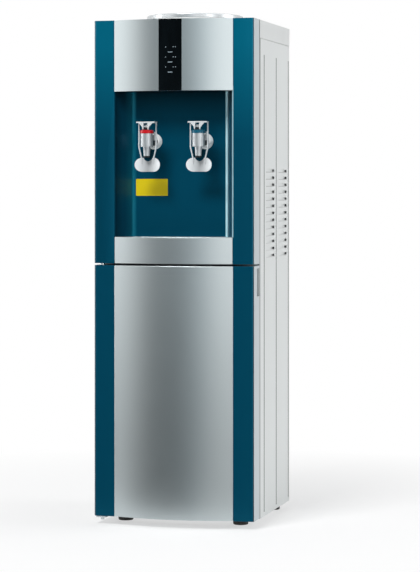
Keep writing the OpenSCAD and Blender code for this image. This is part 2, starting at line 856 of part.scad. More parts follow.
module tap_body() {
  color("#B9BEC1") difference() {
    union() {
      rod_z(barrel_r, 0, 0, barrel_z, barrel_top);
      translate([0, 0, nozzle_z]) cylinder(r1 = 5.7, r2 = 7, h = nozzle_h);
      rod_y(tail_r, 0, 0, 0, tail_end);
      rod_y(barb_r, 0, 0, 0, barb_end);
      both_sides() {
        block(guide_x, [6.5, 9], [guide_z[0], guide_z[0] + 11]);
        block([guide_x[1] - 1.8, guide_x[1]], [2, 9], guide_z);
      }
    }
    rod_z(bore_r, 0, 0, valve_seat_z, barrel_top + over);
    rod_z(4.5, 0, 0, nozzle_z - over, barrel_z + 5);
    rod_y(3.2, 0, 0, 0, barb_end + over);
  }
}

module tap_ring(tint) {
  color(tint) difference() {
    union() {
      rod_z(tap_ring_r, 0, 0, barrel_top, tap_ring_top);
      block([fit - post_x[0], post_x[0] - fit], [pivot_y - 2, pivot_y + 1.5],
        [tap_ring_top - eps, pivot_z + 1.6]);
      rod_x(pivot_r, pivot_y, pivot_z, -post_x[1] - 0.4, post_x[1] + 0.4);
    }
    rod_z(stem_r + stem_clear, 0, 0, barrel_top - over, tap_ring_top + over);
    rod_z(6.6, 0, 0, barrel_top - over, barrel_top + 3);
  }
}

// Outline of one lever arm in the XZ plane, right side
module arm_plan() {
  x0 = arm_x - lever_t;
  polygon([[arm_x, plate_z + plate_t], [arm_x, nozzle_z + 19], [12.6, nozzle_z - 2], [12.6, nozzle_z - 10],
    [10.6, nozzle_z - 10], [10.6, nozzle_z - 2], [x0, nozzle_z + 19.6], [x0, plate_z]]);
}

module gusset_plan() {
  polygon([[post_x[0], plate_z + eps], [lever_w / 2 - 4.4, plate_z + eps], [post_x[1], plate_z - 7.5],
    [post_x[0], plate_z - 7.5]]);
}

// Outline of the paddle: an oval with a flat foot and a notch under the nozzle
module paddle_outline() {
  r = paddle_h / 2;
  difference() {
    union() {
      for (s = [-1, 1]) translate([s * (paddle_w / 2 - r), paddle_z + r]) circle(r = r);
      translate([-paddle_w / 2 + r, paddle_z]) square([paddle_w - 2 * r, paddle_h]);
    }
    translate([0, paddle_z + paddle_h + notch_r - notch_drop]) circle(r = notch_r);
  }
}

module tap_lever() {
  color("#D5D9DB") {
    block([-lever_w / 2, lever_w / 2], [pivot_y - 2.6, arm_y[1]], [plate_z, plate_z + plate_t]);
    both_sides() {
      translate([0, arm_y[1], 0]) rotate([90, 0, 0]) linear_extrude(arm_y[1] - arm_y[0]) arm_plan();
      translate([0, pivot_y + 2, 0]) rotate([90, 0, 0]) linear_extrude(4) gusset_plan();
      difference() {
        union() {
          block(post_x, [pivot_y - 2.2, pivot_y + 2.2], [pivot_z, plate_z + eps]);
          rod_x(2.2, pivot_y, pivot_z, post_x[0], post_x[1]);
        }
        rod_x(pivot_r + 0.06, pivot_y, pivot_z, post_x[0] - over, post_x[1] + over);
      }
      block([stem_r + 0.3, post_x[1]], [fork_y[0], fork_y[1]], fork_z);
      block([post_x[0], post_x[1]], [pivot_y, fork_y[1]], fork_z);
      block([-eps, post_x[0] + eps], [fork_y[0] - 1.5, fork_y[0]], fork_z);
    }
    intersection() {
      translate([0, paddle_y - paddle_curve_r + paddle_t, paddle_z - over]) difference() {
        cylinder(r = paddle_curve_r, h = paddle_h + 2 * over);
        translate([0, 0, -over]) cylinder(r = paddle_curve_r - paddle_t, h = paddle_h + 4 * over);
      }
      translate([0, paddle_y + 2 * paddle_t, 0]) rotate([90, 0, 0]) linear_extrude(20) paddle_outline();
    }
  }
}

stem_collar_z = [1, 3];

module valve_stem() {
  color("#DDE1E2") {
    rod_z(stem_r, 0, 0, valve_seat_z + fit, head_z + 2);
    rod_z(6.5, 0, 0, valve_seat_z + fit, valve_seat_z + fit + 4);
    rod_z(7, 0, 0, stem_collar_z[0], stem_collar_z[1]);
    rod_z(head_r, 0, 0, head_z, head_z + 2);
  }
}

spring_turns = 5;
spring_wire_r = 0.55;
spring_r = 5;
spring_steps = 16;
spring_z = [stem_collar_z[1] + fit + spring_wire_r, barrel_top + 3 - fit - spring_wire_r];

// Point i of a helix ring, side k
function coil_point(i, k) =
  let (t = i / (spring_turns * spring_steps), a = 360 * i / spring_steps, b = 60 * k)
  [(spring_r + spring_wire_r * cos(b)) * cos(a), (spring_r + spring_wire_r * cos(b)) * sin(a),
    spring_z[0] + (spring_z[1] - spring_z[0]) * t + spring_wire_r * sin(b)];

module valve_spring() {
  n = spring_turns * spring_steps;
  rings = [for (i = [0 : n], k = [0 : 5]) coil_point(i, k)];
  sides = [for (i = [0 : n - 1], k = [0 : 5], half = [0, 1])
    let (a = i * 6 + k, b = i * 6 + (k + 1) % 6)
    half == 0 ? [a, b, b + 6] : [a, b + 6, a + 6]];
  ends = [for (k = [1 : 4], e = [0, 1]) e == 0 ? [0, k + 1, k] : [n * 6, n * 6 + k, n * 6 + k + 1]];
  color("#A7ABAD") polyhedron(points = rings, faces = concat(sides, ends));
}

module tap_collars() {
  color("#D5D9DB") for (x = [-tap_x, tap_x]) tap_at(x) difference() {
    union() {
      rod_y(collar_r, 0, 0, tap_reach - 2, tap_reach - fit);
      translate([0, tap_reach - 2 + eps, 0]) rotate([90, 0, 0])
        cylinder(r1 = collar_r, r2 = 11, h = collar_t);
    }
    rod_y(tail_r + tail_clear, 0, 0, tap_reach - 10, tap_reach + 1);
  }
}

module tap_nuts() {
  color("#C9CDCF") for (x = [-tap_x, tap_x]) tap_at(x) difference() {
    translate([0, tap_reach + basin_wall + 6 + fit, 0]) rotate([90, 0, 0])
      cylinder(r = nut_r, h = 6, $fn = 6);
    rod_y(tail_r + 0.05, 0, 0, tap_reach, tap_reach + 12);
  }
}

// Bottle seat and spike
funnel_drop = 33;
shoulder_drop = 12;
shoulder_in = 13;
socket_z = ring_top - funnel_drop - neck_len;
socket_low_z = socket_z - 28;
funnel_wall = 2.5;
spike_top = socket_z - 2;
spike_flange_r = neck_r - 1.8;

module bottle_seat() {
  color("#C8CDD0") translate([0, seat_y, 0]) rotate_extrude() polygon(concat(
    [[neck_r - 1.5, socket_low_z], [neck_r + funnel_wall, socket_low_z],
      [neck_r + funnel_wall, socket_z + neck_len - 1],
      [seat_skirt_r - shoulder_in, ring_top - shoulder_drop],
      [seat_skirt_r - funnel_wall, ring_top - shoulder_drop],
      [seat_skirt_r - funnel_wall, case_top - well_h + 8],
      [seat_skirt_r, case_top - well_h + 8], [seat_skirt_r, ring_top + fit], [seat_r, ring_top + fit]],
    [for (a = [0 : 15 : 90]) [seat_r, seat_top] + seat_edge_r * [cos(a) - 1, sin(a) - 1]],
    [[seat_r - 12, seat_top], [neck_r + 24, ring_top - 8], [neck_r + 2, socket_z + neck_len],
      [neck_r, socket_z + neck_len], [neck_r, socket_z], [neck_r - 1.5, socket_z]]));
}

module bottle_spike() {
  color("#E4E8EA") translate([0, seat_y, 0]) difference() {
    union() {
      rod_z(spike_flange_r, 0, 0, socket_low_z + 4, socket_low_z + 7);
      rod_z(spike_r, 0, 0, socket_low_z - 6, spike_top - 8);
      translate([0, 0, spike_top - 8]) cylinder(r1 = spike_r, r2 = 3, h = 8);
    }
    rod_z(spike_r - 2, 0, 0, socket_low_z - 7, spike_top - 10);
    for (a = [0, 60, 120]) rotate([0, 0, a]) rod_x(2.5, 0, spike_top - 13, -spike_r - over, spike_r + over);
  }
}

// Hoses
hose_in = stub_r + 0.06;
hose_out = hose_in + hose_wall;
hose_bend = 12;
tap_barb_y = tap_y + barb_end;
riser_y = tap_barb_y + hose_bend;

// Cold side
tank_wall = 1;
foam_gap = 0.4;
foam_r = norm([tap_x, seat_y - riser_y]) - hose_out - riser_clear;
cold_r = foam_r - foam_t - foam_gap;
cold_top = cold_tank_z + cold_h;
baffle_rise = 95;
baffle_z = cold_tank_z + baffle_rise;
foam_front_y = seat_y - sqrt(foam_r * foam_r - tap_x * tap_x);
cold_hose_y = seat_y - sqrt(foam_r * foam_r - pow(tap_x - hose_out, 2)) - 1;
feed_stub_r = 6;
block_x = 25;
block_h = 50;
block_z = [fan_z - block_h / 2, fan_z + block_h / 2];
block_y = seat_y + foam_r + 1;
peltier_t = 3.6;
sink_y = block_y + peltier_t + 2 * 0.1;
sink_base = 4.5;
sink_x = 40;
fan_y = web_y - fit - fan_t;
fin_y = fan_y - 1;
fin_t = 1.5;

module cold_tank() {
  color("#BFC4C6") translate([0, seat_y, 0]) {
    difference() {
      union() {
        rod_z(cold_r, 0, 0, cold_tank_z, cold_top);
        rod_z(cold_r + 6, 0, 0, cold_top - tank_wall, cold_top);
        rod_z(feed_stub_r, 0, 0, tank_shelf_z - 9, cold_tank_z + eps);
        rod_y(stub_r, tap_x, tap_z, foam_front_y - 14 - seat_y, -cold_r / 2);
      }
      rod_z(cold_r - tank_wall, 0, 0, cold_tank_z + tank_wall, cold_top + over);
      rod_z(feed_stub_r - 1.5, 0, 0, tank_shelf_z - 10, cold_tank_z + 2);
      rod_y(stub_r - 1, tap_x, tap_z, foam_front_y - 15 - seat_y, -cold_r / 2 + 5);
    }
  }
}

module tank_insulation() {
  color("#E9E9E4") difference() {
    rod_z(foam_r, 0, seat_y, cold_tank_z - foam_floor - fit, cold_top - 2);
    rod_z(cold_r + foam_gap, 0, seat_y, cold_tank_z - fit, cold_top);
    rod_z(feed_stub_r + 0.5, 0, seat_y, cold_tank_z - foam_floor - 2, cold_tank_z + 1);
    rod_y(stub_r + 0.5, tap_x, tap_z, -foam_r, seat_y);
    block([-block_x - 0.5, block_x + 0.5], [seat_y, seat_y + foam_r + 2],
      [block_z[0] - 0.5, block_z[1] + 0.5]);
  }
}

module tank_baffle() {
  color("#EDEFEF") translate([0, seat_y, 0]) difference() {
    union() {
      rod_z(cold_r - tank_wall - 1.5, 0, 0, baffle_z, baffle_z + 2);
      rod_z(feed_stub_r + 1.5, 0, 0, cold_tank_z + tank_wall + 0.1, baffle_z + eps);
    }
    rod_z(feed_stub_r - 1.5, 0, 0, cold_tank_z, baffle_z + 2 + over);
    for (a = [0 : 60 : 300]) rotate([0, 0, a]) rod_z(4, cold_r - 20, 0, baffle_z - over,
      baffle_z + 2 + over);
  }
}

module cold_block() {
  color("#C4C8CA") difference() {
    block([-block_x, block_x], [seat_y + cold_r - 8, block_y], block_z);
    rod_z(cold_r + 0.1, 0, seat_y, block_z[0] - over, block_z[1] + over);
  }
}

module peltier_module() {
  color("#F0F0EC") block([-20, 20], [block_y + 0.1, block_y + 0.1 + peltier_t], [fan_z - 20, fan_z + 20]);
}

module heat_sink() {
  color("#AEB3B6") {
    block([-sink_x, sink_x], [sink_y, sink_y + sink_base], [fan_z - sink_x, fan_z + sink_x]);
    for (i = [0 : fin_count - 1]) {
      x = -sink_x + (2 * sink_x - fin_t) * i / (fin_count - 1);
      block([x, x + fin_t], [sink_y + sink_base - eps, fin_y], [fan_z - sink_x, fan_z + sink_x]);
    }
  }
}

hub_r = 15;

module fan_frame() {
  color("#232527") difference() {
    union() {
      difference() {
        block([-fan_w / 2, fan_w / 2], [fan_y, fan_y + fan_t], [fan_z - fan_w / 2, fan_z + fan_w / 2]);
        rod_y(fan_bore_r, 0, fan_z, fan_y - over, fan_y + fan_t + over);
      }
      rod_y(hub_r, 0, fan_z, fan_y + fan_t - 2.5, fan_y + fan_t);
      for (a = [45, 135]) translate([0, 0, fan_z]) rotate([0, a, 0])
        block([-fan_bore_r - 2, fan_bore_r + 2], [fan_y + fan_t - 2.5, fan_y + fan_t], [-2, 2]);
      rod_y(2, 0, fan_z, fan_y + 3, fan_y + fan_t);
    }
    for (x = [-1, 1], z = [-1, 1])
      rod_y(2, x * (fan_w / 2 - 5), fan_z + z * (fan_w / 2 - 5), fan_y - over, fan_y + fan_t + over);
  }
}

module fan_rotor() {
  color("#2C2F31") difference() {
    union() {
      rod_y(hub_r, 0, fan_z, fan_y + 1, fan_y + fan_t - 3);
      for (i = [0 : blade_count - 1]) translate([0, fan_y + fan_t / 2 - 1, fan_z])
        rotate([0, i * 360 / blade_count, 0]) rotate([0, 0, 35])
          translate([-6.5, -0.8, hub_r - 2]) cube([13, 1.6, fan_bore_r - hub_r - 1]);
    }
    rod_y(2.06, 0, fan_z, fan_y + 2.5, fan_y + fan_t);
  }
}

// Hot side
hot_x = -20;
hot_r = cold_r - hot_less;
hot_tank_z = divider_z + 44;
hot_top = hot_tank_z + hot_h;
hot_foam_r = hot_r + 13;
hot_foam_z = hot_tank_z - 12;
hot_foam_top = hot_top + 8;
band_r = hot_r + 2.4;
band_z = [hot_tank_z + 25, hot_tank_z + 65];
thermostat_r = 7;
thermostat_at = [for (a = [150, 80]) (hot_r - 16) * [cos(a), sin(a)]];
hot_stub_z = hot_top - 12;
hot_stub_y = seat_y - sqrt(hot_foam_r * hot_foam_r - pow(tap_x + hot_x, 2)) - 13;
leg_ring_r = hot_r - 11;
leg_at = [for (a = [60, 180, 300]) [hot_x + leg_ring_r * cos(a), seat_y + leg_ring_r * sin(a)]];

module hot_tank() {
  color("#BFC4C6") difference() {
    union() {
      rod_z(hot_r, hot_x, seat_y, hot_tank_z, hot_top);
      rod_z(feed_stub_r, 0, seat_y, hot_top - eps, hot_top + 15);
      rod_y(stub_r, -tap_x, hot_stub_z, hot_stub_y, seat_y - hot_r / 2);
      rod_z(stub_r, drain_x, seat_y, hot_tank_z - 17, hot_tank_z + eps);
      for (p = leg_at) rod_z(3, p[0], p[1], divider_z + 1.2, hot_tank_z + eps);
    }
    rod_z(hot_r - 1.2, hot_x, seat_y, hot_tank_z + 1.2, hot_top - 1.2);
    rod_z(feed_stub_r - 1.5, 0, seat_y, hot_top - 5, hot_top + 24);
    rod_y(stub_r - 1, -tap_x, hot_stub_z, hot_stub_y - over, seat_y - hot_r / 2 - 1);
    rod_z(stub_r - 1, drain_x, seat_y, hot_tank_z - 18, hot_tank_z + 5);
  }
}

module hot_insulation() {
  color("#E3DCC4") difference() {
    rod_z(hot_foam_r, hot_x, seat_y, hot_foam_z, hot_foam_top);
    rod_z(band_r + 0.3, hot_x, seat_y, hot_tank_z - fit, hot_top + fit);
    rod_z(feed_stub_r + 0.5, 0, seat_y, hot_top, hot_foam_top + over);
    rod_y(stub_r + 0.5, -tap_x, hot_stub_z, -hot_foam_r, seat_y);
    rod_z(stub_r + 0.5, drain_x, seat_y, hot_foam_z - over, hot_tank_z);
    for (p = leg_at) rod_z(3.4, p[0], p[1], hot_foam_z - over, hot_tank_z);
    for (p = thermostat_at)
      rod_z(thermostat_r + 0.5, hot_x + p[0], seat_y + p[1], hot_top, hot_foam_top + over);
  }
}

module heater_band() {
  color("#9C8F6A") translate([hot_x, seat_y, 0]) sleeve(band_r, hot_r + 0.1, band_z[0], band_z[1]);
}

module thermostats() {
  color("#3A3C3E") for (p = thermostat_at) {
    rod_z(thermostat_r, hot_x + p[0], seat_y + p[1], hot_top + 0.1, hot_top + 9);
    for (s = [-1, 1]) block([hot_x + p[0] + s * 4 - 1.5, hot_x + p[0] + s * 4 + 1.5],
      [seat_y + p[1] - 0.5, seat_y + p[1] + 0.5], [hot_top + 9 - eps, hot_top + 15]);
  }
}

supply_w = 80;
supply_side_in = 14.7;
supply_front_in = 48.5;
supply_rear_in = 62;
supply_x = [inside_x - supply_side_in - supply_w, inside_x - supply_side_in];
supply_y = [steel_y + supply_front_in, web_y - supply_rear_in];
supply_h = 40;

module power_supply() {
  z = divider_z + 1.2 + 0.1;
  color("#8B9093") difference() {
    block(supply_x, supply_y, [z, z + supply_h]);
    for (i = [0 : 9]) block([supply_x[0] + 8 + i * 7, supply_x[0] + 11 + i * 7],
      [supply_y[0] - over, supply_y[1] + over], [z + supply_h - 12, z + supply_h - 6]);
  }
}

// Hoses slide over the stubs and barbs
hot_hose_y = seat_y - sqrt(hot_foam_r * hot_foam_r - pow(tap_x + hot_x - hose_out, 2)) - 1;

module hose_y(x, z, y0, y1) {
  difference() {
    rod_y(hose_out, x, z, y0, y1);
    rod_y(hose_in, x, z, y0 - over, y1 + over);
  }
}

module hose_z(x, y, z0, z1) {
  translate([x, y, 0]) sleeve(hose_out, hose_in, z0, z1);
}

// A quarter bend in the YZ plane round a centre, from a start angle
module hose_elbow(x, y, z, start) {
  translate([x, y, z]) rotate([90, 0, 90]) rotate([0, 0, start]) rotate_extrude(angle = 90)
    translate([hose_bend, 0]) difference() {
      circle(r = hose_out);
      circle(r = hose_in);
    }
}

module hot_hose() {
  z0 = hot_stub_z + hose_bend;
  z1 = tap_z - hose_bend;
  hose_y(-tap_x, hot_stub_z, riser_y + hose_bend, hot_hose_y);
  hose_elbow(-tap_x, riser_y + hose_bend, z0, 180);
  hose_z(-tap_x, riser_y, z0, z1);
  hose_elbow(-tap_x, riser_y - hose_bend, z1, 0);
  hose_y(-tap_x, tap_z, tap_y + tail_end + 1, riser_y - hose_bend);
}

module cold_hose() {
  hose_y(tap_x, tap_z, tap_y + tail_end + 1, cold_hose_y);
}

module feed_hose() {
  difference() {
    rod_z(feed_stub_r + 2.2, 0, seat_y, hot_foam_top + 1, tank_shelf_z - 1);
    rod_z(feed_stub_r + 0.06, 0, seat_y, hot_foam_top, tank_shelf_z);
  }
}

module drain_hose() {
  z1 = drain_z + hose_bend;
  hose_z(drain_x, seat_y, z1, hot_foam_z - 1);
  hose_elbow(drain_x, seat_y + hose_bend, z1, 180);
  hose_y(drain_x, drain_z, seat_y + hose_bend, web_y - 16);
}

module water_hoses() {
  color("#DFE3E4") {
    hot_hose();
    cold_hose();
    feed_hose();
    drain_hose();
  }
}

// Drain with its screw cap
drain_spout_y = web_y + sheet + 10;
cap_r = 12;
cap_y = [web_y + sheet + 2.3, web_y + sheet + 11.5];

module drain_outlet() {
  color("#D5D8DA") difference() {
    union() {
      rod_y(drain_flange_r, drain_x, drain_z, web_y + sheet, web_y + sheet + 2);
      rod_y(drain_r, drain_x, drain_z, web_y - 8, drain_spout_y);
      rod_y(stub_r, drain_x, drain_z, web_y - 30, web_y - 8 + eps);
    }
    rod_y(stub_r - 1, drain_x, drain_z, web_y - 31, drain_spout_y + over);
  }
}

module drain_cap() {
  color("#C8CDD0") difference() {
    union() {
      rod_y(cap_r, drain_x, drain_z, cap_y[0], cap_y[1] - 1);
      for (i = [0 : 23]) translate([drain_x, 0, drain_z]) rotate([0, i * 15, 0])
        block([cap_r - 1, cap_r + 0.8], cap_y - [0, 1], [-0.8, 0.8]);
      rod_y(cap_r - 1.5, drain_x, drain_z, cap_y[0], cap_y[1]);
    }
    rod_y(drain_r + 0.06, drain_x, drain_z, cap_y[0] - over, drain_spout_y + fit);
  }
}

// Rocker switches
rocker_w = 13.4;
rocker_r = 12.2;
rocker_pivot_y = web_y - 4;
rocker_tilt = 7;
rocker_pin_r = 1.5;
switch_x_hot = switch_x - switch_pitch / 2;
switch_x_cold = switch_x + switch_pitch / 2;

module switch_frame() {
  x0 = switch_x - switch_frame_size[0] / 2;
  x1 = switch_x + switch_frame_size[0] / 2;
  z0 = switch_z - switch_frame_size[1] / 2;
  z1 = switch_z + switch_frame_size[1] / 2;
  color("#1C1D1F") difference() {
    union() {
      block([x0, x1], [web_y + sheet, web_y + sheet + 1.8], [z0, z1]);
      block([switch_x - switch_pitch / 2 - 8.8, switch_x + switch_pitch / 2 + 8.8],
        [web_y - 18, web_y + sheet + eps], [switch_z - 14.3, switch_z + 14.3]);
    }
    for (x = [switch_x_hot, switch_x_cold]) {
      block([x - switch_open[0] / 2, x + switch_open[0] / 2], [web_y - 12, web_y + 10],
        [switch_z - switch_open[1] / 2, switch_z + switch_open[1] / 2]);
      rod_x(rocker_pin_r + 0.06, rocker_pivot_y, switch_z, x - switch_open[0] / 2 - 1,
        x + switch_open[0] / 2 + 1);
    }
  }
}

// Side outline of a rocker round its pivot
module rocker_plan() {
  difference() {
    intersection() {
      circle(r = rocker_r);
      translate([-4, -rocker_r]) square([13, 2 * rocker_r]);
    }
    polygon([[6.4, 0], [8.4, rocker_r + 1], [12, rocker_r + 1], [12, -rocker_r - 1], [8.4, -rocker_r - 1]]);
  }
}

module rocker(x, tint) {
  color(tint) translate([x, rocker_pivot_y, switch_z]) {
    translate([-rocker_w / 2, 0, 0]) rotate([90, 0, 90]) rotate([0, 0, rocker_tilt])
      linear_extrude(rocker_w) rocker_plan();
    rod_x(rocker_pin_r, 0, 0, -rocker_w / 2 - 0.8, rocker_w / 2 + 0.8);
  }
}

module hot_switch() {
  rocker(switch_x_hot, "#B3262B");
}

module cold_switch() {
  rocker(switch_x_cold, "#1F7A4D");
}

// Mains inlet socket with three pins
pin_w = 2;
pin_h = 4;

module mains_inlet() {
  cavity = [inlet_body[0] - 3, inlet_body[1] - 4];
  color("#1C1D1F") {
    difference() {
      union() {
        block([inlet_x - inlet_flange[0] / 2, inlet_x + inlet_flange[0] / 2],
          [web_y + sheet, web_y + sheet + 2.5],
          [inlet_z - inlet_flange[1] / 2, inlet_z + inlet_flange[1] / 2]);
        block([inlet_x - inlet_body[0] / 2, inlet_x + inlet_body[0] / 2],
          [web_y - 19, web_y + sheet + eps], [inlet_z - inlet_body[1] / 2, inlet_z + inlet_body[1] / 2]);
      }
      block([inlet_x - cavity[0] / 2, inlet_x + cavity[0] / 2], [web_y - 15, web_y + 10],
        [inlet_z - cavity[1] / 2, inlet_z + cavity[1] / 2]);
    }
    for (p = [[-7, -2], [0, 2], [7, -2]])
      block([inlet_x + p[0] - pin_w / 2, inlet_x + p[0] + pin_w / 2], [web_y - 15 - eps, web_y + 1],
        [inlet_z + p[1] - pin_h / 2, inlet_z + p[1] + pin_h / 2]);
  }
}

module pan_screw_y(x, z) {
  rod_y(screw_head_r, x, z, web_y + sheet + 0.02, web_y + sheet + screw_head_h);
  rod_y(screw_r, x, z, web_y - screw_len, web_y + sheet + 0.1);
}

module case_screws() {
  color("#A9AEB0") {
    for (x = back_screw_x, z = back_screw_z) pan_screw_y(x, z);
    for (y = bracket_screw_y) {
      rod_z(screw_head_r, bracket_screw_x, y, foot_h - bracket_t - screw_head_h, foot_h - bracket_t - 0.02);
      rod_z(screw_r, bracket_screw_x, y, foot_h - bracket_t - 0.1, foot_h + base_t);
    }
  }
}

base_plate();
feet();
side_panel_left();
side_panel_right();
back_panel();
top_cover();
divider_shelf();
tank_shelf();
upper_surround();
front_panel();
control_fascia();
display_window();
indicator_lenses();
control_board();
drip_tray();
drip_grille();
door_frame();
door_fascia();
door_liner();
catch_plate();
catch_magnet();
hinge_pin_top();
hinge_bracket();
cabinet_liner();
cabinet_shelf();
tap_collars();
tap_nuts();
tap_at(-tap_x) tap_body();  // hot_tap_body
tap_at(-tap_x) tap_ring("#C8202B");  // hot_tap_ring
tap_at(-tap_x) tap_lever();  // hot_tap_lever
tap_at(-tap_x) valve_stem();  // hot_valve_stem
tap_at(-tap_x) valve_spring();  // hot_valve_spring
tap_at(tap_x) tap_body();  // cold_tap_body
tap_at(tap_x) tap_ring("#0F6C86");  // cold_tap_ring
tap_at(tap_x) tap_lever();  // cold_tap_lever
tap_at(tap_x) valve_stem();  // cold_valve_stem
tap_at(tap_x) valve_spring();  // cold_valve_spring
bottle_seat();
bottle_spike();
cold_tank();
tank_insulation();
tank_baffle();
cold_block();
peltier_module();
heat_sink();
fan_frame();
fan_rotor();
hot_tank();
hot_insulation();
heater_band();
thermostats();
power_supply();
water_hoses();
drain_outlet();
drain_cap();
switch_frame();
hot_switch();
cold_switch();
mains_inlet();
case_screws();
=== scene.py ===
"""Finishes a free-standing bottled-water cooler: mouldings, lacquers, sheet metal and rubber."""

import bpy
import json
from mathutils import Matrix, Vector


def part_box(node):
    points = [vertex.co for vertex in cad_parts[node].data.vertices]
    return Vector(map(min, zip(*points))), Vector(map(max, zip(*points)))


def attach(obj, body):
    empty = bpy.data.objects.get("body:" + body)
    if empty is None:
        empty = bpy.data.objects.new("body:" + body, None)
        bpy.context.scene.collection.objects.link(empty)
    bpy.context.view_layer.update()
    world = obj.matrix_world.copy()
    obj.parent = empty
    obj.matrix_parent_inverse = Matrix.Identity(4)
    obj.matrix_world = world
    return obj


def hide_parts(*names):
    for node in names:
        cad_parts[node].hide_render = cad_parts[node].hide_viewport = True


bl_info = {
    "name": "Water cooler finish",
    "version": (1, 0, 0),
    "blender": (4, 5, 0),
    "location": "3D View > Sidebar > Water Cooler",
    "description": "Dresses the packed water cooler and sets it on a pale studio floor",
    "category": "Object",
}

import json
import math

import bmesh
import bpy
from bpy.props import FloatProperty, FloatVectorProperty, PointerProperty
from mathutils import Vector

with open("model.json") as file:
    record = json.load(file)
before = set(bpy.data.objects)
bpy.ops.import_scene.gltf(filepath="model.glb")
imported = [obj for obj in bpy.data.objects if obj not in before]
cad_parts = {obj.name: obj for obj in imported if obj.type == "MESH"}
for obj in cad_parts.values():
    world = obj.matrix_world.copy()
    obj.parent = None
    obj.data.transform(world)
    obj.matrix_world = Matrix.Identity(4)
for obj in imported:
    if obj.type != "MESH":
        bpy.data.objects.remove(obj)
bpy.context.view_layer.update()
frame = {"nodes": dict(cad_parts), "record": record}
NODES = frame["nodes"]
BODIES = frame["record"]["behaviour"]["bodies"]
BODY_OF = {node: body for body, members in BODIES.items() for node in members}

# Limits of the mesh work, in metres and radians: what counts as one point, a flat or a sharp edge,
# an upright edge, near a place and level with it
WELD = 2e-6
SLIVER = 1e-6
FLAT = 0.002
SHARP = math.radians(38)
UPRIGHT = 0.05
NEAR = 0.0002
LEVEL = 0.0001
# Steps of the larger roundings
CORNER_SEGMENTS = 4

# Places on the cooler that edges and paint follow, in metres. A pair is a start and an end.
# Light grey bands and teal columns, and the painted shade in the gaps beside them
HALF_WIDTH = 0.155
BAND_Y = -0.139
SEAM_X = (0.1535, 0.154)
SEAM_Y = -0.0995
SEAM = 0.0012
COLUMN_SIDE_X = 0.1515
COLUMN_IN = 0.0016
COLUMN_X = HALF_WIDTH - COLUMN_IN + 0.0009
# Side panels, and where their painted shade lies
FLANGE_Y = -0.0855
GROOVES_Y = (-0.056, 0.044, 0.149)
GROOVE = 0.004
GROOVE_Z = (0.022, 0.884)
LOUVRES_Y = ((-0.041, 0.027), (0.065, 0.133))
LOUVRE_Z = (0.5005, 0.6645)
LOUVRE_STEP = 0.0135
LOUVRE_EDGE = (0.0013, 0.0016)
# Taps, and where their painted shade lies
RING_TOP = 0.7413
TAIL_Y = (-0.136, -0.134)
TIP_Z = (0.6925, 0.6933)
TAP_X = 0.05
PADDLE = 0.021
PADDLE_Z = (0.686, 0.692)
# Niche and columns, their painted shade and their painted lines of light
NICHE_Z = (0.5418, 0.8245)
NICHE_X = (-0.1135, 0.1135)
NICHE_WALL_Y = -0.094
TOP_SHADE_Z = (NICHE_Z[1] - 0.055, NICHE_Z[1] - 0.006)
WALL_SHADE_X = (-0.114, -0.105)
TAP_SHADE = (-0.0135, 0.699)
TAP_SHADE_RADII = (0.014, 0.017)
FADE_X = (0.114, 0.118)
FADE_Z = (0.72, 0.9)
FILLET_X = (-0.101, -0.0905)
FILLET_Y = (-0.116, -0.0965)
LINE_Z = (NICHE_Z[0], NICHE_Z[1] - 0.002)
CORNER_LINE_X = (0.0893, 0.0938)
CORNER_LINE_Y = (-0.1, -0.0985)
FRONT_LINE_X = (0.1108, 0.1154)
FRONT_LINE_Y = (-0.1355, -0.1345)
# Sticker
STICKER_X = (-0.0868, -0.0242)
STICKER_Z = (0.6183, 0.6503)
STICKER_CORNER = 0.0015

# Upright corners that are rounded more: place in plan and radius, in metres
BAND_CORNERS = (((HALF_WIDTH, BAND_Y), 0.0005), ((HALF_WIDTH, -0.0943), 0.0018))
NICHE_CORNERS = (((0.092, NICHE_WALL_Y), 0.006), ((0.115, -0.142), 0.0025))

# Edge radii of small and hidden parts, in metres
DISPLAY_EDGE = 0.0001
FINE_EDGE = 0.0002
INNER_EDGE = 0.0003
FITTING_EDGE = 0.0004
SCREW_EDGE = 0.0006
FOOT_EDGE = 0.0012

# Marks on the display, in metres
BOW_R = 0.37636
MARK_ROWS = (0.8953, 0.8767, 0.8581)
MARK_X = (-0.0095, 0.0052, 0.0096)
MARK_WIDTH = 0.0016
MARK_DEPTH = 0.0001
MARK_HEIGHT = 0.0014
MARK_LIFT = 0.00002
BAR_X = -0.001
BAR_DROP = 0.0095
BAR_WIDTH = 0.009

# Softness of painted edges, in metres
HAIR = 0.0001
CRISP = 0.0003
SOFT = 0.0005
GROOVE_SOFT = 0.0004
LOUVRE_SOFT = 0.001
FILLET_SOFT = 0.006

# How far painted shade and light hide the colour below them. A pair is for a low and a high place.
SEAM_FADE_Z, SEAM_FADE = (0.5, 0.95), (0.45, 0.85)
GAP_FADE_Z, GAP_FADE = (0.5, 0.9), (0.45, 0.8)
LOUVRE_FADE = (0.2, 0.6)
PADDLE_SHADE = 0.75
TAP_SHADE_STRENGTH = 0.85
TOP_SHADE = 0.97
WALL_SHADE = 0.7
COLUMN_FADE = 0.7
FILLET_LIGHT = 0.75


# Colours and materials

TEAL_LOOK = {"rough": 0.28, "variation": 0.03, "tint": (0.12, 0.72, 1.0)}
# Span that holds most values of a random pattern
SPAN = (0.3, 0.7)
# Where a patch starts to fade and ends, by the square of its radius
RIM = (0.35, 1.2)


def srgb(text):
    """Scene-linear colour of a hex code as it looks on a screen."""
    values = [int(text[i : i + 2], 16) / 255 for i in (1, 3, 5)]
    return tuple(v / 12.92 if v <= 0.04045 else ((v + 0.055) / 1.055) ** 2.4 for v in values)


def shade(colour, factor):
    """A colour made lighter or darker."""
    return tuple(min(1.0, c * factor) for c in colour[:3]) + (1.0,)


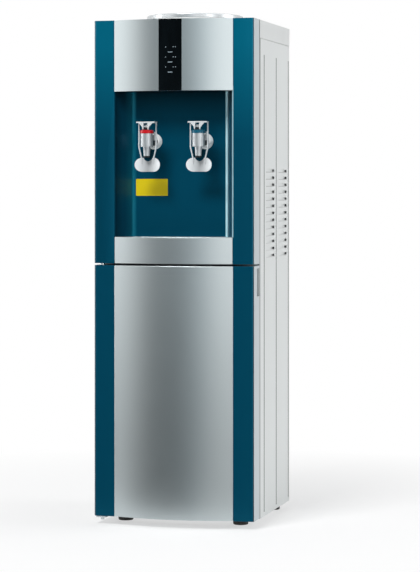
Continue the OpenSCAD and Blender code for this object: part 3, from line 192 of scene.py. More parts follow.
class Recipe:
    """A material under construction: its node tree, its shader and its object coordinates."""

    def __init__(self, name, **sockets):
        material = bpy.data.materials.new(name)
        material.use_nodes = True
        self.take(material)
        for socket, value in sockets.items():
            self.shader.inputs[socket.replace("_", " ")].default_value = value

    @classmethod
    def continued(cls, material):
        """A recipe that goes on from a finished material."""
        recipe = cls.__new__(cls)
        recipe.take(material)
        return recipe

    def take(self, material):
        """Starts work on a material and its Principled shader."""
        self.material = material
        self.tree = material.node_tree
        self.shader = self.tree.nodes["Principled BSDF"]
        self.coords = self.add("ShaderNodeTexCoord").outputs["Object"]
        self.height = None

    def add(self, kind, **settings):
        node = self.tree.nodes.new(kind)
        for key, value in settings.items():
            setattr(node, key, value)
        return node

    def link(self, source, target):
        self.tree.links.new(source, target)

    def stretched(self, stretch):
        """Object coordinates scaled along each axis."""
        mapping = self.add("ShaderNodeMapping")
        mapping.inputs["Scale"].default_value = stretch
        self.link(self.coords, mapping.inputs["Vector"])
        return mapping.outputs["Vector"]

    def noise(self, scale, detail=3.0, rough=0.5, stretch=(1, 1, 1)):
        """Soft random pattern with so many features to the metre."""
        node = self.add("ShaderNodeTexNoise")
        node.inputs["Scale"].default_value = scale
        node.inputs["Detail"].default_value = detail
        node.inputs["Roughness"].default_value = rough
        self.link(self.stretched(stretch), node.inputs["Vector"])
        return node.outputs["Fac"]

    def cells(self, scale, output="Distance"):
        """Cell pattern with so many cells to the metre."""
        node = self.add("ShaderNodeTexVoronoi")
        node.inputs["Scale"].default_value = scale
        self.link(self.coords, node.inputs["Vector"])
        return node.outputs[output]

    def along(self, axis):
        """Object coordinate along one axis."""
        split = self.add("ShaderNodeSeparateXYZ")
        self.link(self.coords, split.inputs["Vector"])
        return split.outputs[axis]

    def spread(self, value, low, high, to_low=0.0, to_high=1.0):
        """A value moved from one range to another."""
        node = self.add("ShaderNodeMapRange")
        ranges = {"From Min": low, "From Max": high, "To Min": to_low, "To Max": to_high}
        for socket, number in ranges.items():
            node.inputs[socket].default_value = number
        self.link(value, node.inputs["Value"])
        return node.outputs["Result"]

    def fall(self, value, low, high):
        """One below a range of values, falling to zero above it."""
        return self.spread(value, low, high, 1.0, 0.0)

    def joined(self, operation, *values):
        """Values joined one after another by a Math node's operation, each a socket or a number."""
        total = values[0]
        for value in values[1:]:
            node = self.add("ShaderNodeMath", operation=operation)
            for socket, source in zip(node.inputs, (total, value)):
                if isinstance(source, bpy.types.NodeSocket):
                    self.link(source, socket)
                else:
                    socket.default_value = source
            total = node.outputs["Value"]
        return total

    def times(self, *values):
        return self.joined("MULTIPLY", *values)

    def most(self, *values):
        return self.joined("MAXIMUM", *values)

    def unsigned(self, value):
        return self.joined("ABSOLUTE", value, 0.0)

    def band(self, value, low, high, soft):
        """One where a value lies between two limits, falling to zero over a soft margin."""
        return self.times(self.spread(value, low - soft, low), self.fall(value, high, high + soft))

    def patch(self, across, up, centre, radii, strength):
        """A given strength in the middle of an oval, falling to zero over its rim."""
        squares = []
        for value, middle, radius in zip((across, up), centre, radii):
            offset = self.joined("DIVIDE", self.joined("SUBTRACT", value, middle), radius)
            squares.append(self.times(offset, offset))
        return self.spread(self.joined("ADD", *squares), *RIM, strength, 0.0)

    def ramp(self, value, stops):
        """Colours along a value, from (position, colour) pairs."""
        node = self.add("ShaderNodeValToRGB")
        elements = node.color_ramp.elements
        for element, (position, colour) in ((elements[0], stops[0]), (elements[-1], stops[-1])):
            element.position = position
            element.color = tuple(colour[:3]) + (1.0,)
        for position, colour in stops[1:-1]:
            elements.new(position).color = tuple(colour[:3]) + (1.0,)
        self.link(value, node.inputs["Fac"])
        return node.outputs["Color"]

    def mottled(self, pattern, colour, darkest, lightest):
        """A colour made darker and lighter by a pattern."""
        shades = shade(colour, darkest), shade(colour, lightest)
        return self.ramp(pattern, list(zip(SPAN, shades)))

    def mixed(self, factor, first, second, blend="MIX"):
        """Two colours blended by a factor, each a socket or a constant."""
        node = self.add("ShaderNodeMix", data_type="RGBA", blend_type=blend)
        for index, value in ((0, factor), (6, first), (7, second)):
            if isinstance(value, bpy.types.NodeSocket):
                self.link(value, node.inputs[index])
            elif index == 0:
                node.inputs[0].default_value = value
            else:
                node.inputs[index].default_value = tuple(value[:3]) + (1.0,)
        return node.outputs[2]

    def colour(self, source):
        self.link(source, self.shader.inputs["Base Color"])

    def over(self, mask, colour):
        """Paints a colour over the colour so far, where a mask is one."""
        paint = self.shader.inputs["Base Color"].links[0].from_socket
        self.colour(self.mixed(mask, paint, colour))

    def roughness(self, pattern, low, high):
        self.link(self.spread(pattern, *SPAN, low, high), self.shader.inputs["Roughness"])

    def bump(self, value, distance):
        """Relief of so many metres, added to the relief already there."""
        node = self.add("ShaderNodeBump")
        node.inputs["Strength"].default_value = 1.0
        node.inputs["Distance"].default_value = distance
        self.link(value, node.inputs["Height"])
        if self.height is not None:
            self.link(self.height, node.inputs["Normal"])
        self.height = node.outputs["Normal"]
        self.link(self.height, self.shader.inputs["Normal"])


def moulded_plastic(
    name, colour, rough, grain=1400, coat=0.0, variation=0.05, specular=0.4, tint=(1, 1, 1)
):
    """Injection-moulded plastic with a fine satin grain and slow flow marks."""
    r = Recipe(
        name, Coat_Weight=coat, Coat_Roughness=0.12, Specular_IOR_Level=specular,
        Specular_Tint=(*tint, 1.0)
    )
    marks = r.noise(7, detail=4, rough=0.55, stretch=(1, 1, 0.35))
    flow = r.mottled(marks, colour, 1 - variation, 1 + variation)
    fine = r.noise(grain, detail=2, rough=0.6)
    r.colour(r.mixed(r.spread(fine, *SPAN, 0.0, 0.25), flow, shade(colour, 1 + variation)))
    r.roughness(r.noise(12, detail=2, rough=0.5), rough * 0.985, rough * 1.015)
    r.bump(fine, 0.00003)
    return r.material


def tap_ring(name, colour):
    """Coloured ring with a dark block above it that carries the lever."""
    r = Recipe(name, Specular_IOR_Level=0.25)
    wear = r.noise(120, detail=3, rough=0.6)
    ring = r.mottled(wear, colour, 0.92, 1.05)
    r.colour(r.mixed(r.spread(r.along("Z"), RING_TOP, RING_TOP + CRISP), ring, srgb("#24282B")))
    r.roughness(wear, 0.24, 0.34)
    r.bump(r.noise(1400, detail=2, rough=0.6), 0.00002)
    return r.material


def silver_lacquer(name, colour, rough, metallic=1.0):
    """Plastic under a silver metallic lacquer with fine flakes."""
    r = Recipe(name, Metallic=metallic)
    marks = r.noise(5, detail=3, rough=0.5, stretch=(1, 1, 0.3))
    flow = r.mottled(marks, colour, 0.965, 1.03)
    flakes = r.ramp(r.cells(5200, "Color"), [(0.0, (0.9, 0.9, 0.9)), (1.0, (1.0, 1.0, 1.0))])
    r.colour(r.mixed(0.8, flow, flakes, "MULTIPLY"))
    r.roughness(r.noise(26, detail=4, rough=0.6), rough * 0.985, rough * 1.015)
    r.bump(r.noise(700, detail=2, rough=0.5), 0.000012)
    return r.material


def band_plastic(name, colour, rough):
    """Light grey plastic with painted shade in the gaps behind the teal columns and at the side
    panels.
    """
    r = Recipe.continued(moulded_plastic(name, colour, rough))
    across, depth, height = r.unsigned(r.along("X")), r.along("Y"), r.along("Z")
    # Painted shade: near-black where the band shows in the gap beside each teal column, and along
    # the seam at the side panel.
    gap = r.times(
        r.fall(across, COLUMN_X, COLUMN_X + HAIR), r.fall(depth, BAND_Y + NEAR, BAND_Y + CRISP)
    )
    seam_shade = r.times(
        r.spread(depth, SEAM_Y - SEAM, SEAM_Y), r.spread(across, *SEAM_X),
        r.spread(height, *SEAM_FADE_Z, *SEAM_FADE)
    )
    r.over(r.most(gap, seam_shade), shade(colour, 0.03))
    return r.material


def tap_metal(name, colour, rough):
    """Silver tap with painted shade on the tail behind the barrel and on the tip of the nozzle."""
    r = Recipe.continued(silver_lacquer(name, colour, rough, metallic=0.65))
    # Painted shade: near-black on the tail behind the barrel and on the nozzle's tip.
    dark = r.most(r.spread(r.along("Y"), *TAIL_Y), r.fall(r.along("Z"), *TIP_Z))
    r.over(dark, srgb("#1C2326"))
    return r.material


def lever_lacquer(name, colour, rough):
    """Pale lever with painted shade down the middle of its paddle."""
    r = Recipe.continued(silver_lacquer(name, colour, rough, metallic=0.12))
    aside = r.unsigned(r.joined("SUBTRACT", r.unsigned(r.along("X")), TAP_X))
    # Painted shade: greyer down the middle of each paddle.
    middle = r.spread(aside, 0.0, PADDLE, PADDLE_SHADE, 0.0)
    r.over(r.times(middle, r.fall(r.along("Z"), *PADDLE_Z)), shade(colour, 0.4))
    return r.material


def niche_plastic(name, colour):
    """Teal plastic of the upper front, with painted shade and painted highlights in its niche.

    Its columns are painted paler at the top, as light from above would leave them.
    """
    r = Recipe.continued(moulded_plastic(name, colour, **TEAL_LOOK))
    x, y, z = (r.along(axis) for axis in "XYZ")
    niche = r.times(r.band(z, *NICHE_Z, SOFT), r.band(x, *NICHE_X, SOFT))
    # Painted shade: a dark top under the overhang, a dark front on the left wall and a painted
    # shadow behind each tap.
    aside, height = TAP_SHADE
    tap_shadows = [
        r.patch(x, z, (tap + aside, height), TAP_SHADE_RADII, TAP_SHADE_STRENGTH)
        for tap in (-TAP_X, TAP_X)
    ]
    dark = r.most(
        r.spread(z, *TOP_SHADE_Z, 0.0, TOP_SHADE), r.spread(x, *WALL_SHADE_X, WALL_SHADE, 0.0),
        *tap_shadows
    )
    r.over(r.times(niche, dark), shade(colour, 0.02))
    # Painted light: the upper columns paler, as if lit from above.
    upper = r.times(r.spread(r.unsigned(x), *FADE_X), r.spread(z, *FADE_Z, 0.0, COLUMN_FADE))
    r.over(upper, srgb("#006680"))
    # Painted highlight: a paler teal band on the back-left fillet.
    fillet_highlight = r.times(
        r.spread(y, *FILLET_Y), r.band(z, *NICHE_Z, SOFT), r.band(x, *FILLET_X, FILLET_SOFT),
        FILLET_LIGHT
    )
    r.over(fillet_highlight, srgb("#0A6478"))
    # Painted highlights: pale lines down the back-right corner and down the front edge of the right
    # wall.
    high = r.band(z, *LINE_Z, SOFT)
    corner = r.times(r.spread(y, *CORNER_LINE_Y), r.band(x, *CORNER_LINE_X, 2 * CRISP), high)
    front = r.times(r.fall(y, *FRONT_LINE_Y), r.band(x, *FRONT_LINE_X, CRISP), high)
    r.over(r.most(corner, front), srgb("#C2EAF2"))
    return r.material


def powder_coat(name, colour, rough):
    """Powder-coated sheet steel with a light orange peel."""
    r = Recipe(name, Coat_Weight=0.12, Coat_Roughness=0.25)
    dust = r.noise(3.5, detail=5, rough=0.6, stretch=(1, 1, 0.5))
    r.colour(r.mottled(dust, colour, 0.975, 1.015))
    r.roughness(dust, rough * 0.9, rough * 1.12)
    r.bump(r.noise(260, detail=2, rough=0.45), 0.00005)
    return r.material


def side_steel(name, colour, rough):
    """Powder coat with painted shade in the pressed grooves, in the front gap and along the louvre
    edges.
    """
    r = Recipe.continued(powder_coat(name, colour, rough))
    depth, height = r.along("Y"), r.along("Z")
    half = GROOVE / 2
    # Painted shade: near-black in the pressed grooves and in the gap at the front edge.
    lines = r.most(*(r.band(depth, y - half, y + half, GROOVE_SOFT) for y in GROOVES_Y))
    groove_shade = r.times(lines, r.band(height, *GROOVE_Z, SOFT))
    gap = r.times(
        r.fall(depth, FLANGE_Y, FLANGE_Y + SOFT), r.spread(height, *GAP_FADE_Z, *GAP_FADE)
    )
    r.over(r.most(groove_shade, gap), shade(colour, 0.07))
    # Painted shade: a darker line along the lower edge of each louvre, stronger higher up.
    columns = r.most(*(r.band(depth, *ends, LOUVRE_SOFT) for ends in LOUVRES_Y))
    step = r.joined("MODULO", r.joined("SUBTRACT", height, LOUVRE_Z[0]), LOUVRE_STEP)
    edges = r.times(
        columns, r.fall(step, *LOUVRE_EDGE), r.band(height, *LOUVRE_Z, HAIR),
        r.spread(height, *LOUVRE_Z, *LOUVRE_FADE)
    )
    r.over(edges, shade(colour, 0.25))
    return r.material


def plated_sheet(name, colour, rough):
    """Zinc-plated sheet with its crystal spangle."""
    r = Recipe(name, Metallic=0.9)
    spangle = r.ramp(r.cells(70, "Color"), [(0.0, shade(colour, 0.88)), (1.0, shade(colour, 1.12))])
    stain = r.noise(11, detail=5, rough=0.65)
    r.colour(r.mixed(r.spread(stain, 0.35, 0.75, 0.0, 0.35), spangle, shade(colour, 0.8)))
    r.roughness(stain, rough * 0.85, rough * 1.2)
    r.bump(r.noise(900, detail=3, rough=0.6), 0.00001)
    return r.material


def drawn_metal(name, colour, rough, stretch=(1, 1, 0.02)):
    """Drawn or brushed metal with fine parallel lines."""
    r = Recipe(name, Metallic=1.0, Anisotropic=0.4)
    strokes = r.noise(1500, detail=3, rough=0.7, stretch=stretch)
    smear = r.spread(r.noise(14, detail=4, rough=0.6), *SPAN, 0.0, 0.3)
    r.colour(r.mixed(smear, shade(colour, 1.03), r.mottled(strokes, colour, 0.86, 1.05)))
    r.roughness(strokes, rough * 0.8, rough * 1.25)
    r.bump(strokes, 0.00001)
    return r.material


def black_gloss(name, colour):
    """Polished black acrylic with faint dust and wipe marks."""
    r = Recipe(name, Specular_IOR_Level=0.1)
    wipes = r.noise(40, detail=4, rough=0.6, stretch=(1, 1, 0.2))
    r.colour(r.ramp(wipes, [(0.35, shade(colour, 0.8)), (0.7, shade(colour, 1.5))]))
    r.roughness(wipes, 0.1, 0.2)
    r.bump(r.noise(120, detail=2, rough=0.5), 0.000006)
    return r.material


def foam_block(name, colour):
    """Moulded foam with closed cells."""
    r = Recipe(name, Subsurface_Weight=0.05)
    beads = r.cells(330)
    r.colour(r.mixed(r.spread(beads, 0.1, 0.6), shade(colour, 1.03), shade(colour, 0.84)))
    r.roughness(r.noise(50), 0.82, 0.95)
    r.bump(beads, -0.0004)
    return r.material


def rubber(name, colour, rough):
    """Matt rubber, paler with dust near the floor."""
    r = Recipe(name)
    low = r.spread(r.along("Z"), 0.0, 0.012, 0.45, 0.0)
    dusty = r.mixed(low, shade(colour, 1.0), srgb("#55534E"))
    scuffs = r.spread(r.noise(160, detail=4, rough=0.7), 0.4, 0.8, 0.0, 0.3)
    r.colour(r.mixed(scuffs, dusty, shade(colour, 2.2)))
    r.roughness(r.noise(90, detail=4), rough * 0.9, rough * 1.12)
    r.bump(r.noise(1200, detail=3, rough=0.6), 0.00006)
    return r.material


def clear_silicone(name, colour):
    """Milky silicone tube."""
    r = Recipe(name, Transmission_Weight=0.35, Subsurface_Weight=0.2)
    haze = r.noise(60, detail=4, rough=0.6)
    r.colour(r.mottled(haze, colour, 0.95, 1.05))
    r.roughness(haze, 0.3, 0.45)
    r.bump(r.noise(400, detail=2), 0.00003)
    return r.material


def light_pipe(name, colour):
    """Clear indicator lens over an unlit lamp."""
    r = Recipe(name, Transmission_Weight=0.2, Coat_Weight=0.6, Coat_Roughness=0.05)
    core = r.noise(900, detail=2, rough=0.5)
    r.colour(r.mottled(core, colour, 0.9, 1.0))
    r.roughness(core, 0.12, 0.2)
    return r.material


def solder_mask(name, colour):
    """Green circuit board with its tracks."""
    r = Recipe(name, Coat_Weight=0.4, Coat_Roughness=0.15)
    tracks = r.add("ShaderNodeTexBrick", offset=0.37, squash=1.6)
    sizes_of_tracks = {"Scale": 120.0, "Mortar Size": 0.06, "Brick Width": 1.7, "Row Height": 0.35}
    for socket, value in sizes_of_tracks.items():
        tracks.inputs[socket].default_value = value
    for socket, factor in (("Color1", 1.0), ("Color2", 1.15), ("Mortar", 1.9)):
        tracks.inputs[socket].default_value = shade(colour, factor)
    upright = r.add("ShaderNodeMapping")
    upright.inputs["Rotation"].default_value = (math.pi / 2, 0, 0)
    r.link(r.coords, upright.inputs["Vector"])
    r.link(upright.outputs["Vector"], tracks.inputs["Vector"])
    r.colour(tracks.outputs["Color"])
    r.roughness(r.noise(80), 0.3, 0.42)
    r.bump(tracks.outputs["Fac"], -0.00003)
    return r.material


def printed_card(name, colour):
    """Coated paper label, slightly uneven, in one ink."""
    r = Recipe(name, Specular_IOR_Level=0.2)
    fibre = r.noise(900, detail=4, rough=0.7)
    uneven = r.spread(fibre, 0.35, 0.7, 0.0, 0.5)
    r.colour(r.mixed(uneven, shade(colour, 1.0), shade(colour, 0.86)))
    r.roughness(r.noise(60, detail=3), 0.38, 0.52)
    r.bump(fibre, 0.00001)
    return r.material


def colour_property(name, description, text):
    return FloatVectorProperty(
        name=name, description=description, subtype="COLOR", size=3, min=0.0, max=1.0,
        default=srgb(text)
    )


def length_property(name, description, default):
    return FloatProperty(
        name=name, description=description, default=default, min=0.0, max=0.1, precision=5,
        subtype="DISTANCE", unit="LENGTH"
    )


class WaterCoolerColours(bpy.types.PropertyGroup):
    """Colours of the visible finishes."""

    teal: colour_property("Teal", "Moulded corner columns and niche", "#003F56")
    silver: colour_property("Silver", "Lacquer of the bowed panels", "#C7D0D2")
    seat: colour_property("Seat silver", "Lacquer of the bottle seat", "#CBCFD1")
    grey: colour_property("Light grey", "Bands behind the front mouldings", "#BFC6C9")
    steel: colour_property("Off-white steel", "Powder coat of the side panels", "#DADDDC")
    cover: colour_property("Off-white cover", "Top cover and cabinet lining", "#D8DAD9")
    tap: colour_property("Tap silver", "Tap bodies", "#B2B7BA")
    lever: colour_property("Lever", "Tap levers", "#EBEFF1")
    collar: colour_property("Collar", "Round collars of the taps", "#F8FAFA")
    hot: colour_property("Hot ring", "Ring of the hot tap", "#C80F1C")
    cold: colour_property("Cold ring", "Ring of the cold tap", "#085A73")
    sticker: colour_property("Sticker", "Bare sticker on the niche wall", "#E4CC08")
    floor: colour_property("Floor", "Studio floor and background", "#FAFAFA")


class WaterCoolerSizes(bpy.types.PropertyGroup):
    """Edge radii and the sizes of the pieces that have no solid."""

    mould_edge: length_property("Moulding edge", "Rounding of the plastic edges", 0.0009)
    trim_edge: length_property("Trim edge", "Rounding of small plastic parts", 0.0005)
    sheet_edge: length_property("Sheet edge", "Rounding of folded and cut sheet", 0.00025)
    tray_brow: length_property("Tray top edge", "Rounding of the tray's front top edge", 0.002)
    door_brow: length_property("Door top edge", "Rounding of the silver door's top edge", 0.0012)
    sticker_t: length_property("Sticker thickness", "Thickness of the bare sticker", 0.0003)


def colours():
    return bpy.context.scene.water_cooler_colours


def sizes():
    return bpy.context.scene.water_cooler_sizes


# Makers of the finishes from a name and the colours, by slot and for single pieces
FINISHES = {
    "teal_plastic": lambda n, c: moulded_plastic(n, c.teal, **TEAL_LOOK),
    "niche": lambda n, c: niche_plastic(n, c.teal),
    "silver_plastic": lambda n, c: silver_lacquer(n, c.silver, 0.3),
    "low_silver": lambda n, c: silver_lacquer(n, c.silver, 0.34),
    "seat": lambda n, c: silver_lacquer(n, c.seat, 0.26, metallic=0.5),
    "grey_plastic": lambda n, c: band_plastic(n, c.grey, 0.42),
    "white_plastic": lambda n, c: moulded_plastic(n, c.cover, 0.42),
    "painted_steel": lambda n, c: powder_coat(n, c.steel, 0.42),
    "side_steel": lambda n, c: side_steel(n, c.steel, 0.42),
    "zinc_steel": lambda n, c: plated_sheet(n, srgb("#C4C8CA"), 0.4),
    "bright_steel": lambda n, c: drawn_metal(n, srgb("#CDD1D3"), 0.26),
    "stainless": lambda n, c: drawn_metal(n, srgb("#C9CDCE"), 0.3, (0.02, 1, 1)),
    "aluminium": lambda n, c: drawn_metal(n, srgb("#D2D5D6"), 0.38),
    "black_plastic": lambda n, c: moulded_plastic(n, srgb("#202124"), 0.45, variation=0.12),
    "display_black": lambda n, c: black_gloss(n, srgb("#04080B")),
    "lens_clear": lambda n, c: light_pipe(n, srgb("#DDE6EA")),
    "circuit_board": lambda n, c: solder_mask(n, srgb("#1B5A33")),
    "tap_silver": lambda n, c: tap_metal(n, c.tap, 0.38),
    "lever_white": lambda n, c: lever_lacquer(n, c.lever, 0.28),
    "collar": lambda n, c: moulded_plastic(n, c.collar, 0.3, specular=0.3),
    "ring_red": lambda n, c: tap_ring(n, c.hot),
    "ring_blue": lambda n, c: tap_ring(n, c.cold),
    "foam": lambda n, c: foam_block(n, srgb("#E6E4DA")),
    "ceramic_plate": lambda n, c: moulded_plastic(n, srgb("#EDEDE8"), 0.5, grain=2500),
    "silicone": lambda n, c: clear_silicone(n, srgb("#DADFE0")),
    "rubber_black": lambda n, c: rubber(n, srgb("#1B1B1C"), 0.72),
    "brass_band": lambda n, c: drawn_metal(n, srgb("#B59A5A"), 0.35, (0.03, 0.03, 1)),
    "switch_red": lambda n, c: moulded_plastic(n, srgb("#B3262B"), 0.26, coat=0.3),
    "switch_green": lambda n, c: moulded_plastic(n, srgb("#1F7A4D"), 0.26, coat=0.3),
}


def finish_of(key):
    """The material of a slot or a single piece, made once."""
    name = key + "_finish"
    return bpy.data.materials.get(name) or FINISHES[key](name, colours())


# Meshes


def welded(node):
    """A copy of a CAD node's mesh with shared corners and whole flat faces."""
    bm = bmesh.new()
    bm.from_mesh(NODES[node].data)
    bmesh.ops.remove_doubles(bm, verts=bm.verts, dist=WELD)
    bmesh.ops.dissolve_degenerate(bm, edges=bm.edges, dist=SLIVER)
    bmesh.ops.dissolve_limit(
        bm, angle_limit=FLAT, verts=bm.verts, edges=bm.edges, delimit=set()
    )
    return bm


def bevelled(bm, edges, offset, segments, **settings):
    """Rounds edges in so many steps."""
    bmesh.ops.bevel(
        bm, geom=edges, offset=offset, affect="EDGES", segments=segments, profile=0.5,
        material=-1, **settings
    )


def outward(edge):
    """Tells whether an edge is sharp and stands out."""
    return edge.is_manifold and edge.is_convex and edge.calc_face_angle(0.0) > SHARP


def round_edges(bm, radius, segments):
    """Rounds all edges that are sharp and stand out."""
    edges = [e for e in bm.edges if outward(e)]
    bevelled(bm, edges, radius, segments, clamp_overlap=True, miter_outer="ARC", loop_slide=True)


def round_upright(bm, place, offset):
    """Rounds the upright edges, inward ones too, at a place in plan and at its mirror image."""
    places = [Vector(place), Vector((-place[0], place[1]))]
    edges = [
        e for e in bm.edges
        if e.is_manifold and abs(e.verts[0].co.z - e.verts[1].co.z) > UPRIGHT
        and any(all((v.co.xy - p).length < NEAR for v in e.verts) for p in places)
    ]
    bevelled(bm, edges, offset, CORNER_SEGMENTS, clamp_overlap=True)


def round_brow(bm, height, offset):
    """Rounds the front edges that lie at one height, for a broad line of light."""
    edges = [
        e for e in bm.edges
        if outward(e)
        and all(abs(v.co.z - height) < LEVEL and v.co.y < BAND_Y for v in e.verts)
    ]
    bevelled(bm, edges, offset, CORNER_SEGMENTS, clamp_overlap=True)


def draw_columns_in(bm):
    """Moves the outer sides of the two corner columns inwards, to open the gap beside them."""
    for vert in bm.verts:
        if abs(vert.co.x) > COLUMN_SIDE_X and vert.co.y < BAND_Y + NEAR:
            vert.co.x -= math.copysign(COLUMN_IN, vert.co.x)


def new_piece(name, bm, body, material, weighted=True):
    """A finished object from a mesh under construction, riding on its body."""
    for face in bm.faces:
        face.smooth = True
    for edge in bm.edges:
        edge.smooth = not (edge.is_manifold and edge.calc_face_angle(0.0) > SHARP)
    mesh = bpy.data.meshes.new(name)
    bm.to_mesh(mesh)
    bm.free()
    piece = bpy.data.objects.new(name, mesh)
    bpy.context.scene.collection.objects.link(piece)
    mesh.materials.append(material)
    if weighted:
        normals = piece.modifiers.new("Weighted normals", "WEIGHTED_NORMAL")
        normals.keep_sharp = True
    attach(piece, body)
    return piece


def dress(node, slot, radius=None, segments=2, finish=None, corners=(), brow=None, columns=False):
    """Stands a rounded copy of a CAD node in the node's place.

    Some upright corners, given as (place in plan, radius), and the brow are rounded more.
    """
    bm = welded(node)
    if columns:
        draw_columns_in(bm)
    for place, offset in corners:
        round_upright(bm, place, offset)
    if brow:
        round_brow(bm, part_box(node)[1][2], brow)
    if radius:
        round_edges(bm, radius, segments)
    piece = new_piece(node + "_finished", bm, BODY_OF[node], finish_of(finish or slot))
    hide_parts(node)


def box_mesh(low, high):
    """A block between two corners."""
    bm = bmesh.new()
    bmesh.ops.create_cube(bm, size=1.0)
    bmesh.ops.scale(bm, vec=Vector(high) - Vector(low), verts=bm.verts)
    bmesh.ops.translate(bm, vec=(Vector(low) + Vector(high)) / 2, verts=bm.verts)
    return bm


class CoolerOperator:
    """What the operators share."""

    bl_options = {"REGISTER", "UNDO"}


class COOLER_OT_steel_case(CoolerOperator, bpy.types.Operator):
    """Folded steel case: side panels, back, base and shelves"""

    bl_idname = "cooler.steel_case"
    bl_label = "Steel case"

    def execute(self, context):
        edge = sizes().sheet_edge
        for node in ("side_panel_left", "side_panel_right"):
            dress(node, "painted_steel", edge, 1, finish="side_steel")
        dress("back_panel", "painted_steel", edge, 1)
        for node in ("base_plate", "divider_shelf", "tank_shelf"):
            dress(node, "zinc_steel", edge, 1)
        return {"FINISHED"}


class COOLER_OT_top_cover(CoolerOperator, bpy.types.Operator):
    """Moulded top cover with the raised ring"""

    bl_idname = "cooler.top_cover"
    bl_label = "Top cover"

    def execute(self, context):
        dress("top_cover", "white_plastic", sizes().mould_edge)
        return {"FINISHED"}


class COOLER_OT_front_mouldings(CoolerOperator, bpy.types.Operator):
    """Upper front: surround, teal moulding and silver fascia"""

    bl_idname = "cooler.front_mouldings"
    bl_label = "Front mouldings"

    def execute(self, context):
        edge = sizes().mould_edge
        dress("upper_surround", "grey_plastic", edge, corners=BAND_CORNERS)
        dress(
            "front_panel", "teal_plastic", edge, finish="niche", corners=NICHE_CORNERS, columns=True
        )
        dress("control_fascia", "silver_plastic", sizes().trim_edge)
        return {"FINISHED"}


class COOLER_OT_display(CoolerOperator, bpy.types.Operator):
    """Black display strip, its lenses and marks, and the board behind"""

    bl_idname = "cooler.display"
    bl_label = "Display"

    def execute(self, context):
        dress("display_window", "display_black", DISPLAY_EDGE, 1)
        dress("indicator_lenses", "lens_clear", INNER_EDGE)
        dress("control_board", "circuit_board", FINE_EDGE, 1)
        self.marks()
        return {"FINISHED"}

    def marks(self):
        """Plain printed dashes and bars beside the lenses."""
        bm = bmesh.new()
        front_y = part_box("display_window")[0][1]
        for row in MARK_ROWS:
            dots = [(x, row, MARK_WIDTH) for x in MARK_X]
            for x, z, width in (*dots, (BAR_X, row - BAR_DROP, BAR_WIDTH)):
                mark = bmesh.ops.create_cube(bm, size=1.0)["verts"]
                bmesh.ops.scale(bm, vec=(width, MARK_DEPTH, MARK_HEIGHT), verts=mark)
                y = front_y + x * x / (2 * BOW_R) + MARK_LIFT
                bmesh.ops.translate(bm, vec=(x, y, z), verts=mark)
        ink = moulded_plastic("mark_ink", srgb("#8FA0A8"), 0.5)
        body = BODY_OF["display_window"]
        new_piece("display_marks", bm, body, ink, weighted=False)


class COOLER_OT_drip_tray(CoolerOperator, bpy.types.Operator):
    """Drip tray and its lift-off grille"""

    bl_idname = "cooler.drip_tray"
    bl_label = "Drip tray"

    def execute(self, context):
        edge, brow = sizes().mould_edge, sizes().tray_brow
        dress("drip_tray", "silver_plastic", edge, finish="low_silver", brow=brow)
        dress("drip_grille", "silver_plastic", sizes().trim_edge)
        return {"FINISHED"}


class COOLER_OT_door(CoolerOperator, bpy.types.Operator):
    """Cabinet door with its hinges and catch"""

    bl_idname = "cooler.door"
    bl_label = "Door"

    def execute(self, context):
        mould_edge, trim_edge = sizes().mould_edge, sizes().trim_edge
        dress("door_frame", "teal_plastic", mould_edge, columns=True)
        brow = sizes().door_brow
        dress("door_fascia", "silver_plastic", trim_edge, finish="low_silver", brow=brow)
        dress("door_liner", "grey_plastic", mould_edge, corners=BAND_CORNERS[:1])
        for node in ("catch_plate", "hinge_pin_top", "hinge_bracket"):
            dress(node, "bright_steel", sizes().sheet_edge)
        dress("catch_magnet", "black_plastic", trim_edge)
        return {"FINISHED"}


class COOLER_OT_cabinet(CoolerOperator, bpy.types.Operator):
    """Storage cabinet lining and shelf"""

    bl_idname = "cooler.cabinet"
    bl_label = "Cabinet"

    def execute(self, context):
        dress("cabinet_liner", "white_plastic", sizes().trim_edge)
        dress("cabinet_shelf", "white_plastic", sizes().trim_edge)
        return {"FINISHED"}


class COOLER_OT_taps(CoolerOperator, bpy.types.Operator):
    """Hot and cold taps with their levers, rings, stems and springs"""

    bl_idname = "cooler.taps"
    bl_label = "Taps"

    def execute(self, context):
        edge = sizes().trim_edge
        dress("tap_collars", "lever_white", edge, finish="collar")
        dress("tap_nuts", "white_plastic", edge)
        for side, ring in (("hot", "ring_red"), ("cold", "ring_blue")):
            dress(side + "_tap_body", "tap_silver", edge)
            dress(side + "_tap_ring", ring, edge)
            dress(side + "_tap_lever", "lever_white", edge)
            dress(side + "_valve_stem", "white_plastic", FINE_EDGE)
            dress(side + "_valve_spring", "bright_steel")
        return {"FINISHED"}


class COOLER_OT_bottle_seat(CoolerOperator, bpy.types.Operator):
    """Bottle seat and the spike that opens the bottle"""

    bl_idname = "cooler.bottle_seat"
    bl_label = "Bottle seat"

    def execute(self, context):
        dress("bottle_seat", "silver_plastic", sizes().trim_edge, finish="seat")
        dress("bottle_spike", "white_plastic", sizes().trim_edge)
        return {"FINISHED"}


class COOLER_OT_water_system(CoolerOperator, bpy.types.Operator):
    """Tanks, foam, cooling module, fan, heater, hoses and power supply"""

    bl_idname = "cooler.water_system"
    bl_label = "Water system"

    def execute(self, context):
        for node, slot in (
            ("cold_tank", "stainless"), ("hot_tank", "stainless"), ("tank_insulation", "foam"),
            ("hot_insulation", "foam"), ("tank_baffle", "white_plastic"),
            ("cold_block", "aluminium"), ("peltier_module", "ceramic_plate"),
            ("heat_sink", "aluminium"), ("fan_frame", "black_plastic"),
            ("fan_rotor", "black_plastic"), ("heater_band", "brass_band"),
            ("thermostats", "black_plastic"), ("power_supply", "zinc_steel"),
            ("water_hoses", "silicone"),
        ):
            dress(node, slot, INNER_EDGE, 1)
        return {"FINISHED"}


